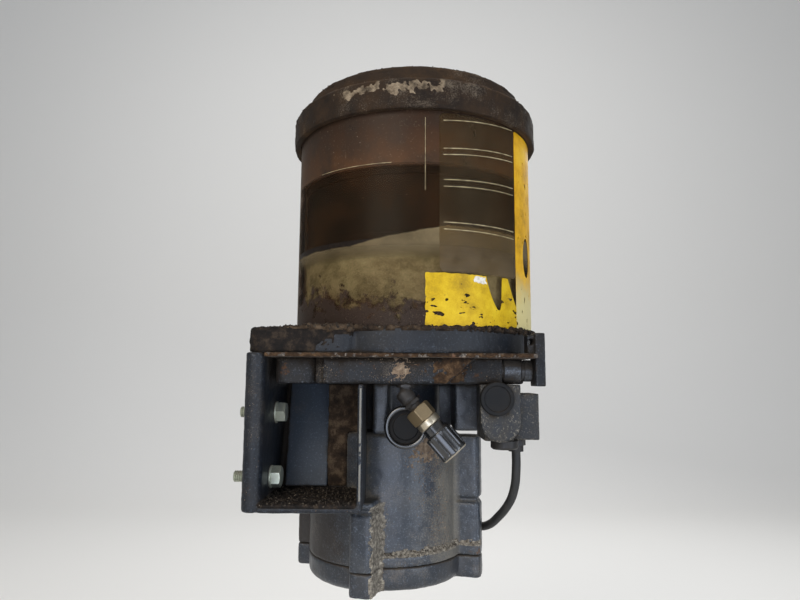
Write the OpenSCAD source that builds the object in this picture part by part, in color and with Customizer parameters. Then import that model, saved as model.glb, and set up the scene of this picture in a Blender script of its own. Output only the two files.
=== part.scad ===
// Automatic lubrication pump with a clear grease reservoir.
// The origin is the centre of the two mounting bolts, on the outer face of the bracket wall.
// +Z is up, +X runs from the mounting face into the pump, and -Y is the service side.

/* [Reservoir] */
// Outer diameter of the clear tube
tube_od = 185; // [160:1:220]
// Wall of the clear tube
tube_wall = 4; // [3:0.5:6]
// Length of the clear tube
tube_h = 167; // [150:1:240]
// Radial running gap between the tube and what slides in it
slide_gap = 0.3; // [0.2:0.1:0.8]
// Height of the round seat under the tube
collar_h = 17; // [12:1:30]
// How far the round seat stands out past the tube
collar_lip = 0.5; // [0:0.5:4]
// Height of grease under the follower
grease_h = 59; // [30:1:70]
// Height of the follower
follower_h = 53.5; // [30:0.5:60]
// Wall and floor of the follower
follower_wall = 5; // [3:0.5:8]

/* [Lid] */
// Height of the lower ring of the lid, below the top of the tube
lid_ring_h = 18; // [12:1:30]
// Wall of the lower ring of the lid
lid_wall = 4.7; // [3:0.1:6]
// Thickness of the lid's ledge on top of the tube
lid_ledge_t = 4.5; // [3:0.5:6]
// Radius of the rounded edge of the ledge
lid_round = 7; // [4:0.5:7]
// Step in from the lower ring to the foot of the crown
lid_step = 7.3; // [7.1:0.1:9]
// Height of the crown above the ledge
lid_crown_h = 14.1; // [8:0.1:20]
// How much the crown narrows to its rounded edge
lid_taper = 3.8; // [2:0.2:6]
// Thickness of the crown
lid_t = 4; // [3:0.5:5]
// Diameter of the vent boss in the lid
vent_d = 26; // [16:1:40]

/* [Bracket] */
// Mounting face to the reservoir axis
axis_x = 113; // [108:1:130]
// Bolt centre back to the reservoir axis
axis_y = 51.4; // [46:0.2:60]
// Top of the frame plate above the bolt centre
plate_z = 63; // [56:1:80]
// Thickness of the frame plate
plate_t = 3; // [2:0.5:6]
// Half depth of the frame plate, from the reservoir axis to its front edge
plate_half_depth = 90; // [84:1:100]
// Reservoir axis to the right end of the frame plate
plate_right = 80.5; // [78:0.5:90]
// Thickness of the mounting wall
wall_t = 13; // [8:0.5:14]
// Radius of the rounded front edge of the mounting wall
wall_round = 6; // [2:0.5:6.5]
// Depth of the mounting wall, front to back
wall_depth = 108; // [100:1:140]
// Bottom of the shelf below the bolt centre
shelf_drop = 40; // [38:0.5:50]
// Thickness of the shelf
shelf_t = 4.5; // [3:0.5:6]
// Mounting face to the left side of the rib
rib_x = 74.8; // [70:0.2:80]
// Thickness of the rib
rib_t = 3.4; // [3:0.2:10]
// Depth of the shelf in front of the leaning wall
shelf_depth = 62; // [50:1:66]
// Thickness of the leaning wall at the back of the pocket
lean_t = 6; // [4:0.5:8]
// How far the leaning wall goes back from shelf to block
lean_back = 36; // [20:1:40]
// Mounting wall to the raised panel, at its top
panel_inset = 2.4; // [0:0.2:6]
// How much further in the raised panel starts at its foot
panel_skew = 3; // [0:0.5:5]
// Width of the raised panel at its top
panel_top_w = 32; // [20:1:36]
// Width of the raised panel at its foot
panel_foot_w = 31; // [20:1:34]
// How far the panel stands off the leaning wall
panel_t = 4; // [2:0.5:6]
// Width of the upright web between the raised panel and the rib
web_w = 25.2; // [20:0.2:26]
// Front of that web in front of the motor axis
web_front = 47.4; // [44:0.2:50]

/* [Mounting bolts] */
// Distance between the two bolt centres
bolt_pitch = 45; // [40:1:52]
// Lean of the line through the bolts, top towards the back
bolt_lean = 16; // [10:1:30]
// Diameter of the bolt shanks
bolt_d = 8; // [6:1:8]
// Diameter of the bolt holes
bolt_hole_d = 9; // [8.5:0.5:11]
// Size across the flats of the bolt heads
bolt_af = 13; // [12:1:17]
// Height of the bolt heads
bolt_head_h = 6.5; // [4:0.1:8]
// How far the bolts stand out of the mounting face
bolt_out = 12; // [8:1:40]

/* [Pump block] */
// Height of the pump block under the frame plate
block_h = 17.5; // [14:0.5:20]
// Setback of the pump block behind the edge of the frame plate
block_setback = 6; // [2:0.5:10]
// Left end of the pump block, left of the reservoir axis
block_left = 62; // [58:1:64]
// Right end of the pump block at its foot, right of the reservoir axis
block_right = 20; // [14:1:26]
// How far the right end of the pump block slants out towards the top
block_slant = 21; // [10:1:26]
// Depth of the pump block
block_depth = 150; // [130:1:160]
// Width of the round-ended block at the left
end_block_w = 27; // [20:1:28]
// Depth of the round-ended block at the left
end_block_depth = 46; // [30:1:60]
// Width of the slot between the round-ended block and the pump block
end_block_gap = 6; // [4:0.5:8]
// Depth of that slot
slot_depth = 8; // [4:1:16]
// Right side of the block that carries the plug, right of the reservoir axis
plug_block_right = 59.5; // [56:0.5:62]
// Diameter of the closing plug
plug_d = 15.6; // [12:0.2:16]

/* [Motor housing] */
// Motor axis left of the reservoir axis
motor_left = 19.4; // [17:0.2:22]
// Motor axis behind the reservoir axis
motor_back = 20; // [17:1:24]
// Diameter of the motor housing
motor_d = 111; // [104:1:114]
// Diameter of the flange and the end cover
flange_d = 118; // [115:1:124]
// Top of the motor housing below the foot of the pump block
neck_h = 36; // [32:1:42]
// Length of the motor housing from its top to its flange
motor_h = 86; // [76:1:110]
// Height of the flange
flange_h = 8; // [5:0.5:12]
// Height of the end cover
cover_h = 16.5; // [12:0.5:24]
// Gap that shows as the seam between housing and cover
seam_gap = 0.4; // [0.2:0.1:1]
// Motor axis to the centres of the screw pillars
pillar_r = 66; // [64:0.5:68]
// Motor axis to the outer faces of the screw pillars
pillar_out = 75; // [73:0.5:80]
// Width of the screw pillars
pillar_w = 17.2; // [16:0.2:22]
// Turn of the first pillar from the front, towards the left
pillar_turn = 14.2; // [10:0.2:20]
// Height of the groove in the pillars above the flange
pillar_joint = 30.8; // [24:0.2:38]
// Height of that groove
pillar_gap = 4.2; // [1:0.2:6]
// Radius of the rounded top edge of the motor housing
motor_round = 4; // [2:0.5:8]
// Radius of the rounded bottom edge of the end cover
cover_round = 6; // [3:0.5:8]

/* [Filler] */
// Diameter of the round filler port
port_d = 30; // [26:1:34]
// Port centre left of the reservoir axis
port_left = 6.5; // [0:0.5:8]
// Port centre below the foot of the pump block
port_drop = 29.8; // [28:0.1:31]
// Turn of the filler nipple from straight down towards the right
nipple_turn = 41.5; // [30:0.5:50]
// Forward tilt of the filler nipple
nipple_tilt = 5; // [4:1:10]
// Size across the flats of the filler nut
nut_af = 16; // [14:1:18]
// Length of the filler nut
nut_h = 10.2; // [8:0.2:16]
// Diameter of the dust cap
cap_d = 19.4; // [18:0.2:21]
// Length of the dust cap
cap_h = 24; // [20:1:32]
// Number of grooves round the dust cap
cap_grooves = 12; // [8:1:16]

/* [Valve] */
// Valve cap's axis right of the reservoir axis
valve_right = 54.4; // [53:0.2:56]
// Valve cap's axis below the foot of the pump block
valve_drop = 9.5; // [8:0.5:12]
// Front of the valve cap forward of the reservoir axis
valve_front = 82; // [78:1:88]
// Diameter of the valve cap
valve_cap_d = 22.7; // [20:0.1:25]
// Width of the round-ended front of the valve body
valve_w = 27.2; // [25:0.2:30]
// Height of the valve body
valve_h = 38.5; // [36:0.5:42]

/* [Hose] */
// Diameter of the jumper hose
hose_d = 6.5; // [5:0.5:7]
// Diameter of the fittings at the ends of the hose
fitting_d = 11; // [9:0.5:13]

/* [Hidden] */
$fn = 96;

// Radii and heights of the reservoir
tube_r = tube_od / 2;
bore_r = tube_r - tube_wall;
collar_r = tube_r + collar_lip;
slider_r = bore_r - slide_gap;
tube_z = plate_z + collar_h;
tube_top = tube_z + tube_h;
follower_z = tube_z + grease_h;
lid_r = tube_r + slide_gap + lid_wall;
crown_r = lid_r - lid_step;
ledge_z = tube_top + lid_ledge_t;
lid_top = ledge_z + lid_crown_h;
// Frame and block
front_y = axis_y - plate_half_depth;
block_top = plate_z - plate_t;
block_z = block_top - block_h;
block_y = front_y + block_setback;
shelf_top = shelf_t - shelf_drop;
lean_y = front_y + shelf_depth;
lean_slope = lean_back / (block_z - shelf_top);
rib_end = rib_x + rib_t;
// Motor housing and pillars
motor_x = axis_x - motor_left;
motor_y = axis_y + motor_back;
motor_r = motor_d / 2;
neck_step = 14;
neck_r = motor_r - neck_step;
motor_top = block_z - neck_h;
flange_top = motor_top - motor_h;
seam_z = flange_top - flange_h;
cover_bottom = seam_z - seam_gap - cover_h;
groove_z = flange_top + pillar_joint;
pillar_turns = [for (quarter = [0:3]) quarter * 90 - pillar_turn];
screw_hole_d = 6.4;
screw_d = 6;
screw_head_d = 10;
screw_head_h = 6;

// Moves children to the reservoir axis
module at_reservoir() { translate([axis_x, axis_y, 0]) children(); }

// Moves children to the motor axis
module at_motor() { translate([motor_x, motor_y, 0]) children(); }

// Puts children at each screw pillar, +X of the children pointing away from the motor axis
module at_pillars(turns = pillar_turns) {
    at_motor() for (turn = turns) rotate(turn - 90) translate([pillar_r, 0, 0]) children();
}

// A ring between two radii and two heights
module ring(r_out, r_in, z0, z1) {
    translate([0, 0, z0]) difference() {
        cylinder(r = r_out, h = z1 - z0);
        translate([0, 0, -1]) cylinder(r = r_in, h = z1 - z0 + 2);
    }
}

// A rectangle with rounded corners
module round_square(w, d, r) {
    translate([r, 0]) square([w - 2 * r, d]);
    translate([0, r]) square([w, d - 2 * r]);
    for (x = [r, w - r], y = [r, d - r]) translate([x, y]) circle(r);
}

// A hexagonal prism along Z, by its size across the flats
module hex_prism(af, h) { cylinder(r = af / 2 / cos(30), h = h, $fn = 6); }

// A cylinder with its top edge rounded
module domed_cylinder(r, h, edge) {
    rotate_extrude() {
        square([r, h - edge]);
        square([r - edge, h]);
        translate([r - edge, h - edge]) circle(edge);
    }
}

// A cylinder with both of its edges bevelled
module bevelled_cylinder(d, h, bevel) {
    cylinder(d1 = d - 2 * bevel, d2 = d, h = bevel);
    translate([0, 0, bevel]) cylinder(d = d, h = h - 2 * bevel);
    translate([0, 0, h - bevel]) cylinder(d1 = d, d2 = d - 2 * bevel, h = bevel);
}

module top_plate() {
    color("#6a4a34") translate([wall_t, front_y, block_top])
        cube([axis_x + plate_right - wall_t, plate_half_depth * 2, plate_t]);
}

// Round seat of the reservoir, with the square left shoulder that reaches the mounting wall
shoulder_w = 70;
shoulder_back = 84;
shoulder_round = 9;
shoulder_edge = 2;
module reservoir_base() {
    color("#25262a") translate([0, 0, plate_z]) {
        at_reservoir() cylinder(r = collar_r, h = collar_h);
        translate([shoulder_edge, front_y + shoulder_edge, 0]) linear_extrude(collar_h - 1)
            round_square(shoulder_w, shoulder_back + plate_half_depth, shoulder_round);
    }
}

module reservoir_tube() {
    color("#8a7a5c") at_reservoir() ring(tube_r, bore_r, tube_z, tube_top);
}

// Cap that drops over the tube, with a stepped crown and a plug ring inside the tube
crown_round = 5.5;
spigot_t = 3;
spigot_h = 5;
vent_gap = 0.2;
vent_r = vent_d / 2 + vent_gap;
module lid() {
    taper = atan(lid_taper / (lid_crown_h - crown_round));
    edge_r = crown_r - lid_taper - crown_round * cos(taper);
    edge_z = lid_top - crown_round;
    spigot_r = bore_r - slide_gap - spigot_t;
    color("#2b2420") at_reservoir() rotate_extrude() difference() {
        union() {
            polygon([
                [vent_r, tube_top], [crown_r, tube_top], [crown_r, ledge_z],
                [edge_r + crown_round * cos(taper), edge_z + crown_round * sin(taper)],
                [edge_r, lid_top], [vent_r, lid_top]
            ]);
            translate([edge_r, edge_z]) circle(crown_round);
            translate([spigot_r, tube_top - spigot_h]) square([spigot_t, spigot_h]);
            translate([lid_r - lid_round, ledge_z - lid_round]) intersection() {
                circle(lid_round);
                square(lid_round);
            }
            translate([tube_r + slide_gap, tube_top - lid_ring_h])
                square([lid_wall, ledge_z - lid_round - tube_top + lid_ring_h]);
            translate([bore_r, tube_top]) square([lid_r - lid_round - bore_r, lid_ledge_t]);
        }
        translate([vent_r + spigot_t, tube_top - 1])
            square([spigot_r - spigot_t - vent_r - spigot_t, lid_top - tube_top - lid_t + 1]);
        translate([spigot_r + spigot_t, tube_top - lid_ring_h])
            square([tube_r + slide_gap - spigot_r - spigot_t, lid_ring_h]);
    }
}

// Breather plug in the middle of the lid
vent_flange = 6;
vent_flange_h = 3;
vent_hex_h = 6;
module lid_vent() {
    color("#1d1a18") at_reservoir() {
        translate([0, 0, tube_top]) cylinder(d = vent_d, h = lid_top - tube_top);
        translate([0, 0, lid_top]) cylinder(d = vent_d + vent_flange, h = vent_flange_h);
        translate([0, 0, lid_top + vent_flange_h]) hex_prism(vent_d * 0.7, vent_hex_h);
    }
}

// Cup that rides on the grease, open at the top, with a sealing lip at each end
lip_h = 6;
lip_proud = 1.5;
hub_r = 14;
module follower_plate() {
    body_r = slider_r - lip_proud;
    color("#1b1715") at_reservoir() {
        ring(body_r, body_r - follower_wall, follower_z, follower_z + follower_h);
        ring(slider_r, body_r - 1, follower_z, follower_z + lip_h);
        ring(slider_r, body_r - 1, follower_z + follower_h - lip_h, follower_z + follower_h);
        translate([0, 0, follower_z]) cylinder(r = body_r - 1, h = follower_wall);
        translate([0, 0, follower_z]) cylinder(r = hub_r, h = follower_h * 0.6);
    }
}

module grease() {
    color("#9a8f70") at_reservoir() translate([0, 0, tube_z]) cylinder(r = slider_r, h = grease_h);
}

// Mounting wall, shelf, rib and leaning back wall that make the open pocket
seat_gap = 0.3;
web_t = 5;
module side_bracket() {
    wall_h = plate_z + shelf_drop;
    color("#22242a") difference() {
        union() {
            translate([0, front_y, -shelf_drop]) linear_extrude(wall_h) {
                translate([0, wall_round]) square([wall_t, wall_depth - wall_round]);
                translate([wall_round, 0]) square([wall_t - 2 * wall_round, wall_round * 2]);
                for (x = [wall_round, wall_t - wall_round]) translate([x, wall_round]) circle(wall_round);
            }
            translate([wall_t - 1, front_y, -shelf_drop])
                cube([rib_end - wall_t + 1, shelf_depth + lean_t, shelf_t]);
            translate([rib_x, front_y, -shelf_drop]) cube([rib_t, shelf_depth, block_z + shelf_drop]);
            translate([rib_x - web_w, motor_y - web_front, -shelf_drop])
                cube([web_w + 1, web_t, block_z + shelf_drop]);
            translate([rib_end, 0, 0]) rotate([90, 0, -90]) linear_extrude(rib_end - wall_t + 1)
                polygon([
                    [-lean_y, -shelf_drop], [-lean_y - lean_t, -shelf_drop],
                    [-lean_y - lean_back - lean_t, block_z], [-lean_y - lean_back, block_z]
                ]);
        }
        for (side = [-1, 1]) rotate([-bolt_lean, 0, 0]) translate([-1, 0, side * bolt_pitch / 2])
            rotate([0, 90, 0]) cylinder(d = bolt_hole_d, h = wall_t + 2);
        motor_space();
    }
}

// Room for the motor housing and the neck above it
module motor_space() {
    at_motor() {
        translate([0, 0, -shelf_drop - 1])
            cylinder(r = motor_r + seat_gap, h = motor_top + shelf_drop + 1 + seat_gap);
        translate([0, 0, motor_top]) cylinder(r = neck_r + seat_gap, h = neck_h + 1);
    }
}

// Flat raised panel on the leaning wall, wider at its foot
panel_margin = 2;
module pocket_panel() {
    panel_h = (block_z - shelf_top) / cos(atan(lean_slope)) - panel_margin;
    foot_x = panel_inset + panel_skew;
    color("#1a1f27") difference() {
        translate([0, lean_y, shelf_top]) rotate([90 - atan(lean_slope), 0, 0])
            translate([wall_t, 0, 0]) linear_extrude(panel_t) polygon([
                [foot_x, panel_margin], [foot_x + panel_foot_w, panel_margin],
                [panel_inset + panel_top_w, panel_h], [panel_inset, panel_h]
            ]);
        motor_space();
    }
}

// Two hexagon bolts through the mounting wall
washer_t = 1.4;
washer_d = 15.6;
shank_gap = 0.2;
head_turn = 12;
module mounting_bolts() {
    color("#9fa391") for (side = [-1, 1])
        rotate([-bolt_lean, 0, 0]) translate([0, 0, side * bolt_pitch / 2]) rotate([0, 90, 0]) {
            translate([0, 0, -bolt_out]) cylinder(d = bolt_d, h = bolt_out + wall_t + 1);
            cylinder(d = bolt_hole_d - 2 * shank_gap, h = wall_t);
            translate([0, 0, wall_t]) cylinder(d = washer_d, h = washer_t);
            translate([0, 0, wall_t + washer_t]) rotate(head_turn) hex_prism(bolt_af, bolt_head_h);
        }
}

// Long block with the pump bores, slanted at its right front end, and the block of the plug behind the slant
plug_block_back = 13;
rear_block_back = 34;
module pump_block() {
    color("#26282c") {
        translate([axis_x, block_y + block_depth, block_z]) rotate([90, 0, 0])
            linear_extrude(block_depth) polygon([
                [-block_left, 0], [block_right, 0],
                [block_right + block_slant, block_h], [-block_left, block_h]
            ]);
        translate([axis_x - block_left - end_block_gap, block_y + slot_depth, block_z])
            cube([end_block_gap + 1, block_depth - slot_depth, block_h]);
        translate([axis_x, block_y + plug_block_back, block_z])
            cube([plug_block_right, block_depth - plug_block_back, block_h]);
        translate([axis_x, block_y + rear_block_back, block_z])
            cube([plate_right - 2, block_depth - rear_block_back, block_h]);
    }
}

// Round-ended block beside the pump block
end_block_round = 7;
end_block_setback = 4;
module end_block() {
    x1 = axis_x - block_left - end_block_gap;
    color("#26282c") translate([x1 - end_block_w, block_y + end_block_setback, block_z])
        linear_extrude(block_h) round_square(end_block_w, end_block_depth, end_block_round);
}

// Closing plug between its block and the right lug, its axis along X
plug_x = axis_x + plug_block_right;
plug_reach = plate_right - plug_block_right;
plug_gap = 0.2;
plug_y = block_y + plug_block_back + plug_d / 2 + 0.8;
plug_z = block_top - plug_d / 2 - plug_gap;
plug_bevel = 1;
plug_neck_d = plug_d - 2.4;
plug_collar_h = 5;
plug_collar_d = plug_d - 0.6;
module side_plug() {
    body_h = plug_reach - plug_collar_h - 3 * plug_bevel;
    color("#1f2023") translate([plug_x, plug_y, plug_z]) rotate([0, 90, 0]) {
        cylinder(d = plug_neck_d, h = plug_reach);
        translate([0, 0, plug_bevel]) bevelled_cylinder(plug_d, body_h, plug_bevel);
        translate([0, 0, plug_reach - plug_collar_h]) cylinder(d = plug_collar_d, h = plug_collar_h);
    }
}

// Upright lug at the right front corner, with a drilled ear on its left side
lug_t = 6.8;
lug_depth = 18;
lug_setback = 10;
lug_drop = 1;
lug_rise = 14.5;
lug_gap = 0.5;
ear_t = 5;
ear_depth = 12;
ear_h = 13;
ear_setback = 2;
ear_hole_d = 4;
ear_hole_drop = 4.5;
module right_lug() {
    lug_x = axis_x + plate_right;
    color("#3a2c22") difference() {
        union() {
            translate([lug_x, front_y + lug_setback, block_z - lug_drop])
                cube([lug_t, lug_depth, lug_drop + block_h + plate_t + lug_rise]);
            translate([lug_x - ear_t, front_y + lug_setback + ear_setback, plate_z])
                cube([ear_t + 1, ear_depth, ear_h]);
        }
        translate([lug_x - ear_t / 2, front_y + lug_setback, plate_z + ear_h - ear_hole_drop])
            rotate([-90, 0, 0]) cylinder(d = ear_hole_d, h = lug_depth);
        at_reservoir() translate([0, 0, plate_z - 1]) cylinder(r = collar_r + lug_gap, h = collar_h + 2);
    }
}

// Column between the pump block and the motor housing, with a post over each front pillar and a rear web
front_post = [10.7, 30];
front_post_reach = 66;
side_post = [20, 40];
side_post_reach = 51;
side_post_front = 36;
rear_web = [95, 25];
rear_web_left = 38.6;
rear_web_back = 19;
module neck_casting() {
    color("#23262c") at_motor() translate([0, 0, motor_top]) {
        cylinder(r = neck_r, h = neck_h);
        translate([-front_post[0], -front_post_reach, 0]) cube([front_post[0], front_post[1], neck_h]);
        translate([side_post_reach, -side_post_front, 0]) cube([side_post[0], side_post[1], neck_h]);
        translate([-rear_web_left, rear_web_back, 0]) cube([rear_web[0], rear_web[1], neck_h]);
    }
}

// One screw pillar, from inside the housing's wall out to its flat outer face
pillar_inset = 6;
pillar_round = 4;
module pillar(h) {
    translate([motor_r - pillar_r - pillar_inset, -pillar_w / 2, 0]) linear_extrude(h)
        round_square(pillar_out - motor_r + pillar_inset, pillar_w, pillar_round);
}

// The part of a pillar that its groove takes away
groove_depth = 2.4;
module pillar_groove() {
    wall_x = motor_r - pillar_r + 0.6;
    core_out = pillar_out - pillar_r - groove_depth;
    difference() {
        translate([wall_x, -pillar_w, 0])
            cube([pillar_out - pillar_r - wall_x + 1, pillar_w * 2, pillar_gap]);
        translate([wall_x - 1, groove_depth - pillar_w / 2, -1])
            cube([core_out - wall_x + 1, pillar_w - 2 * groove_depth, pillar_gap + 2]);
    }
}

// The sector between the left and the front pillar, where the wall is thicker
thick_r = 62.5;
module left_sector(h) {
    reach = 2 * thick_r;
    turns = [for (k = [0:2]) pillar_turns[3] - 90 + k * 45];
    intersection() {
        children();
        translate([0, 0, -1]) linear_extrude(h + 2)
            polygon([[0, 0], for (turn = turns) reach * [cos(turn), sin(turn)]]);
    }
}

// Round housing with a flange and four screw pillars, each grooved at the joint
screw_grip = 18;
foot_trim = 2;
sector_drop = 0.5;
module motor_housing() {
    foot_z = seam_z - foot_trim;
    thick_h = -shelf_drop - seat_gap - foot_z;
    color("#272a31") difference() {
        union() {
            at_motor() {
                translate([0, 0, flange_top]) domed_cylinder(motor_r, motor_h, motor_round);
                translate([0, 0, foot_z]) cylinder(d = flange_d, h = flange_h + foot_trim);
                translate([0, 0, foot_z]) left_sector(thick_h)
                    cylinder(r = thick_r, h = thick_h - sector_drop);
            }
            at_pillars([pillar_turns[0]]) translate([0, 0, foot_z]) pillar(thick_h);
            at_pillars([for (i = [1:3]) pillar_turns[i]])
                translate([0, 0, foot_z]) pillar(motor_top - pillar_gap - foot_z);
        }
        at_motor() translate([0, 0, foot_z - 1]) cylinder(r = pillar_out + 5, h = foot_trim + 1);
        at_pillars() {
            translate([0, 0, groove_z]) pillar_groove();
            translate([0, 0, seam_z - 1]) cylinder(d = screw_hole_d, h = screw_grip + 3);
        }
    }
}

module end_cover() {
    color("#272a31") difference() {
        union() {
            at_motor() translate([0, 0, seam_z - seam_gap]) mirror([0, 0, 1]) {
                domed_cylinder(flange_d / 2, cover_h, cover_round);
                left_sector(cover_h) domed_cylinder(thick_r, cover_h, cover_round);
            }
            at_pillars() translate([0, 0, cover_bottom]) pillar(cover_h);
        }
        at_pillars() {
            translate([0, 0, cover_bottom - 1]) cylinder(d = screw_hole_d, h = cover_h + 2);
            translate([0, 0, cover_bottom - 1]) cylinder(d = screw_head_d + 1, h = screw_head_h + 1);
        }
    }
}

module cover_screws() {
    color("#4a4c4e") at_pillars() translate([0, 0, cover_bottom]) {
        cylinder(d = screw_head_d, h = screw_head_h);
        cylinder(d = screw_d, h = cover_h + screw_grip);
    }
}

// Round port boss with a rolled rim, its axis towards the front
port_x = axis_x - port_left;
port_z = block_z - port_drop;
port_setback = 26;
port_y = front_y + port_setback;
port_rim = 3.6;
port_floor = 3;
port_t = 6;
port_stem_d = 16;
module filler_port() {
    color("#151517") difference() {
        translate([port_x, port_y, port_z]) rotate([-90, 0, 0]) {
            rotate_extrude() translate([port_d / 2 - port_rim / 2, port_rim / 2]) circle(d = port_rim);
            ring(port_d / 2, port_d / 2 - port_rim, port_rim / 2, port_t);
            translate([0, 0, port_floor]) cylinder(d = port_d - port_rim, h = port_t - port_floor);
            translate([0, 0, port_floor]) cylinder(d = port_stem_d, h = motor_y - port_y - port_floor);
        }
        at_motor() cylinder(r = neck_r, h = block_z);
        motor_space();
    }
}

// The nipple's root under the block, and the turn of its axis
root_left = 6.8;
root_setback = 13.3;
root_drop = 7.9;
root_x = axis_x - root_left;
root_y = front_y + root_setback;
root_z = block_z - root_drop;
module at_nipple() {
    translate([root_x, root_y, root_z]) rotate([nipple_tilt, 180 - nipple_turn, 0]) children();
}
elbow_d = 9;
elbow_len = 10.7;
elbow_ball_d = 11.4;
lock_af = 11;
lock_h = 2.5;
lock_rise = 5.5;
module filler_elbow() {
    color("#3b3833") {
        translate([root_x, root_y, root_z]) cylinder(d = elbow_d - 1, h = block_z - root_z);
        translate([root_x, root_y, block_z - lock_h]) hex_prism(lock_af, lock_h);
        translate([root_x, root_y, root_z]) sphere(d = elbow_ball_d);
        at_nipple() cylinder(d = elbow_d, h = elbow_len);
        at_nipple() translate([0, 0, lock_rise]) hex_prism(lock_af, lock_h);
    }
}

module filler_nut() {
    color("#b5a67e") at_nipple() translate([0, 0, elbow_len]) rotate(30) hex_prism(nut_af, nut_h);
}

ring_h = 5;
ring_d = 16.3;
nipple_d = 9;
nipple_reach = 14;
module filler_ring() {
    color("#b9b4a8") at_nipple() translate([0, 0, elbow_len + nut_h]) {
        bevelled_cylinder(ring_d, ring_h, 0.8);
        cylinder(d = nipple_d, h = ring_h + nipple_reach);
    }
}

// Dust cap with a plain collar, then a body with shallow grooves along it
cap_gap = 0.3;
cap_collar_d = 15;
cap_collar_h = 5.6;
cap_bevel = 1;
groove_w = 1.2;
groove_t = 0.7;
groove_margin = 2;
cap_bore_gap = 0.4;
cap_bore_h = 17;
module dust_cap() {
    color("#17181a") at_nipple() translate([0, 0, elbow_len + nut_h + ring_h + cap_gap]) difference() {
        union() {
            cylinder(d = cap_collar_d, h = cap_collar_h);
            translate([0, 0, cap_collar_h]) bevelled_cylinder(cap_d, cap_h - cap_collar_h, cap_bevel);
        }
        translate([0, 0, -1]) cylinder(d = nipple_d + 2 * cap_bore_gap, h = cap_bore_h + 1);
        for (k = [1:cap_grooves]) rotate(k * 360 / cap_grooves)
            translate([cap_d / 2 - groove_t, -groove_w / 2, cap_collar_h + groove_margin])
                cube([groove_t + 1, groove_w, cap_h - cap_collar_h - 2 * groove_margin]);
    }
}

// Relief valve body: a round-ended front, a slimmer body behind it and a slab at the right
valve_x = axis_x + valve_right;
valve_z = block_z - valve_drop;
valve_y = axis_y - valve_front;
valve_bottom = block_z - valve_h;
valve_cap_t = 5;
valve_lip = 2.8;
valve_front_t = 10;
valve_rear = [20, 42];
slab_x = 11.8;
slab_w = 18;
slab_y = 24;
slab_depth = 32;
slab_drop = 6.5;
slab_h = 32;
slab_z = block_z - slab_drop - slab_h;
module valve_body() {
    half = valve_w / 2;
    body_x = valve_x + valve_lip;
    body_y = valve_y + valve_cap_t;
    color("#2a2c30") {
        translate([body_x, body_y + valve_front_t, valve_bottom]) rotate([90, 0, 0])
            linear_extrude(valve_front_t) {
                translate([-half, half]) square([valve_w, valve_h - half]);
                translate([0, half]) circle(half);
            }
        translate([body_x - valve_rear[0] / 2, body_y + valve_front_t - 1, valve_bottom])
            cube([valve_rear[0], valve_rear[1], valve_h]);
        translate([body_x + slab_x, valve_y + slab_y, slab_z]) cube([slab_w, slab_depth, slab_h]);
        translate([body_x + valve_rear[0] / 2 - 1, valve_y + slab_y, slab_z])
            cube([slab_x - valve_rear[0] / 2 + 2, slab_depth, slab_h / 2]);
    }
}

module valve_cap() {
    color("#1c1c1d") translate([valve_x, valve_y, valve_z]) rotate([-90, 0, 0])
        bevelled_cylinder(valve_cap_d, valve_cap_t, 0.8);
}

foot_d = 19;
foot_h = 6;
foot_x = 7.6;
foot_y = 22;
module valve_foot() {
    color("#232323") translate([valve_x + foot_x, valve_y + foot_y, valve_bottom - foot_h])
        cylinder(d = foot_d, h = foot_h);
}

// Points of the jumper hose, from the valve's slab to the fitting behind the right pillar
hose_path = [
    [188.1, 19.4, -6.4], [188.2, 19.4, -14.3], [188, 20.4, -23], [187.5, 22.4, -31.2],
    [185.7, 27.4, -41.4], [182.1, 35.4, -51], [177.9, 45.4, -59.3], [174.6, 55.4, -65.7],
    [170.4, 65.4, -70.2], [165.6, 75.4, -72.4]
];
elbow_reach = 9;
knee_d = 14;

// Moves children to a point and turns their +Z along a direction
module along(p, v) { translate(p) rotate([0, acos(v[2] / norm(v)), atan2(v[1], v[0])]) children(); }

// Straight fitting with a nut under the valve's slab, and elbow on the side of the motor housing
fitting_nut_h = 6;
module hose_fitting() {
    last = hose_path[len(hose_path) - 1];
    run = tangent(hose_path, len(hose_path) - 1);
    knee = last + elbow_reach * run;
    inward = [motor_x - knee[0], motor_y - knee[1], 0];
    color("#3a3a38") {
        translate(hose_path[0]) cylinder(d = fitting_d, h = slab_z - hose_path[0][2]);
        translate([hose_path[0][0], hose_path[0][1], slab_z - fitting_nut_h])
            hex_prism(fitting_d + 1.5, fitting_nut_h);
        difference() {
            union() {
                along(last, run) cylinder(d = fitting_d, h = elbow_reach);
                translate(knee) sphere(d = knee_d);
                along(knee, inward) cylinder(d = fitting_d - 1, h = norm(inward) - motor_r + 4);
            }
            at_motor() translate([0, 0, flange_top]) cylinder(r = motor_r, h = motor_h);
            at_motor() translate([0, 0, seam_z]) cylinder(d = flange_d, h = flange_h);
        }
    }
}

function sub(a, b) = [a[0] - b[0], a[1] - b[1], a[2] - b[2]];
function unit(v) = v / norm(v);
function tangent(p, i) = unit(sub(p[min(i + 1, len(p) - 1)], p[max(i - 1, 0)]));
function side(t) = unit(cross(t, [0, 1, 0.2]));
module tube_along(p, r, sides = 8) {
    rings = [for (i = [0:len(p) - 1]) let (t = tangent(p, i), a = side(t), b = cross(t, a))
        [for (k = [0:sides - 1]) p[i] + r * (cos(k * 360 / sides) * a + sin(k * 360 / sides) * b)]];
    polyhedron(
        points = [for (row = rings) for (q = row) q],
        faces = concat(
            [[for (k = [0:sides - 1]) k]],
            [[for (k = [0:sides - 1]) (len(p) - 1) * sides + sides - 1 - k]],
            [for (i = [0:len(p) - 2], k = [0:sides - 1]) let (n = (k + 1) % sides, j = i * sides)
                each [[j + k, j + sides + k, j + sides + n], [j + k, j + sides + n, j + n]]]
        )
    );
}
module jumper_hose() { color("#1a1a1a") tube_along(hose_path, hose_d / 2); }

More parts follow.
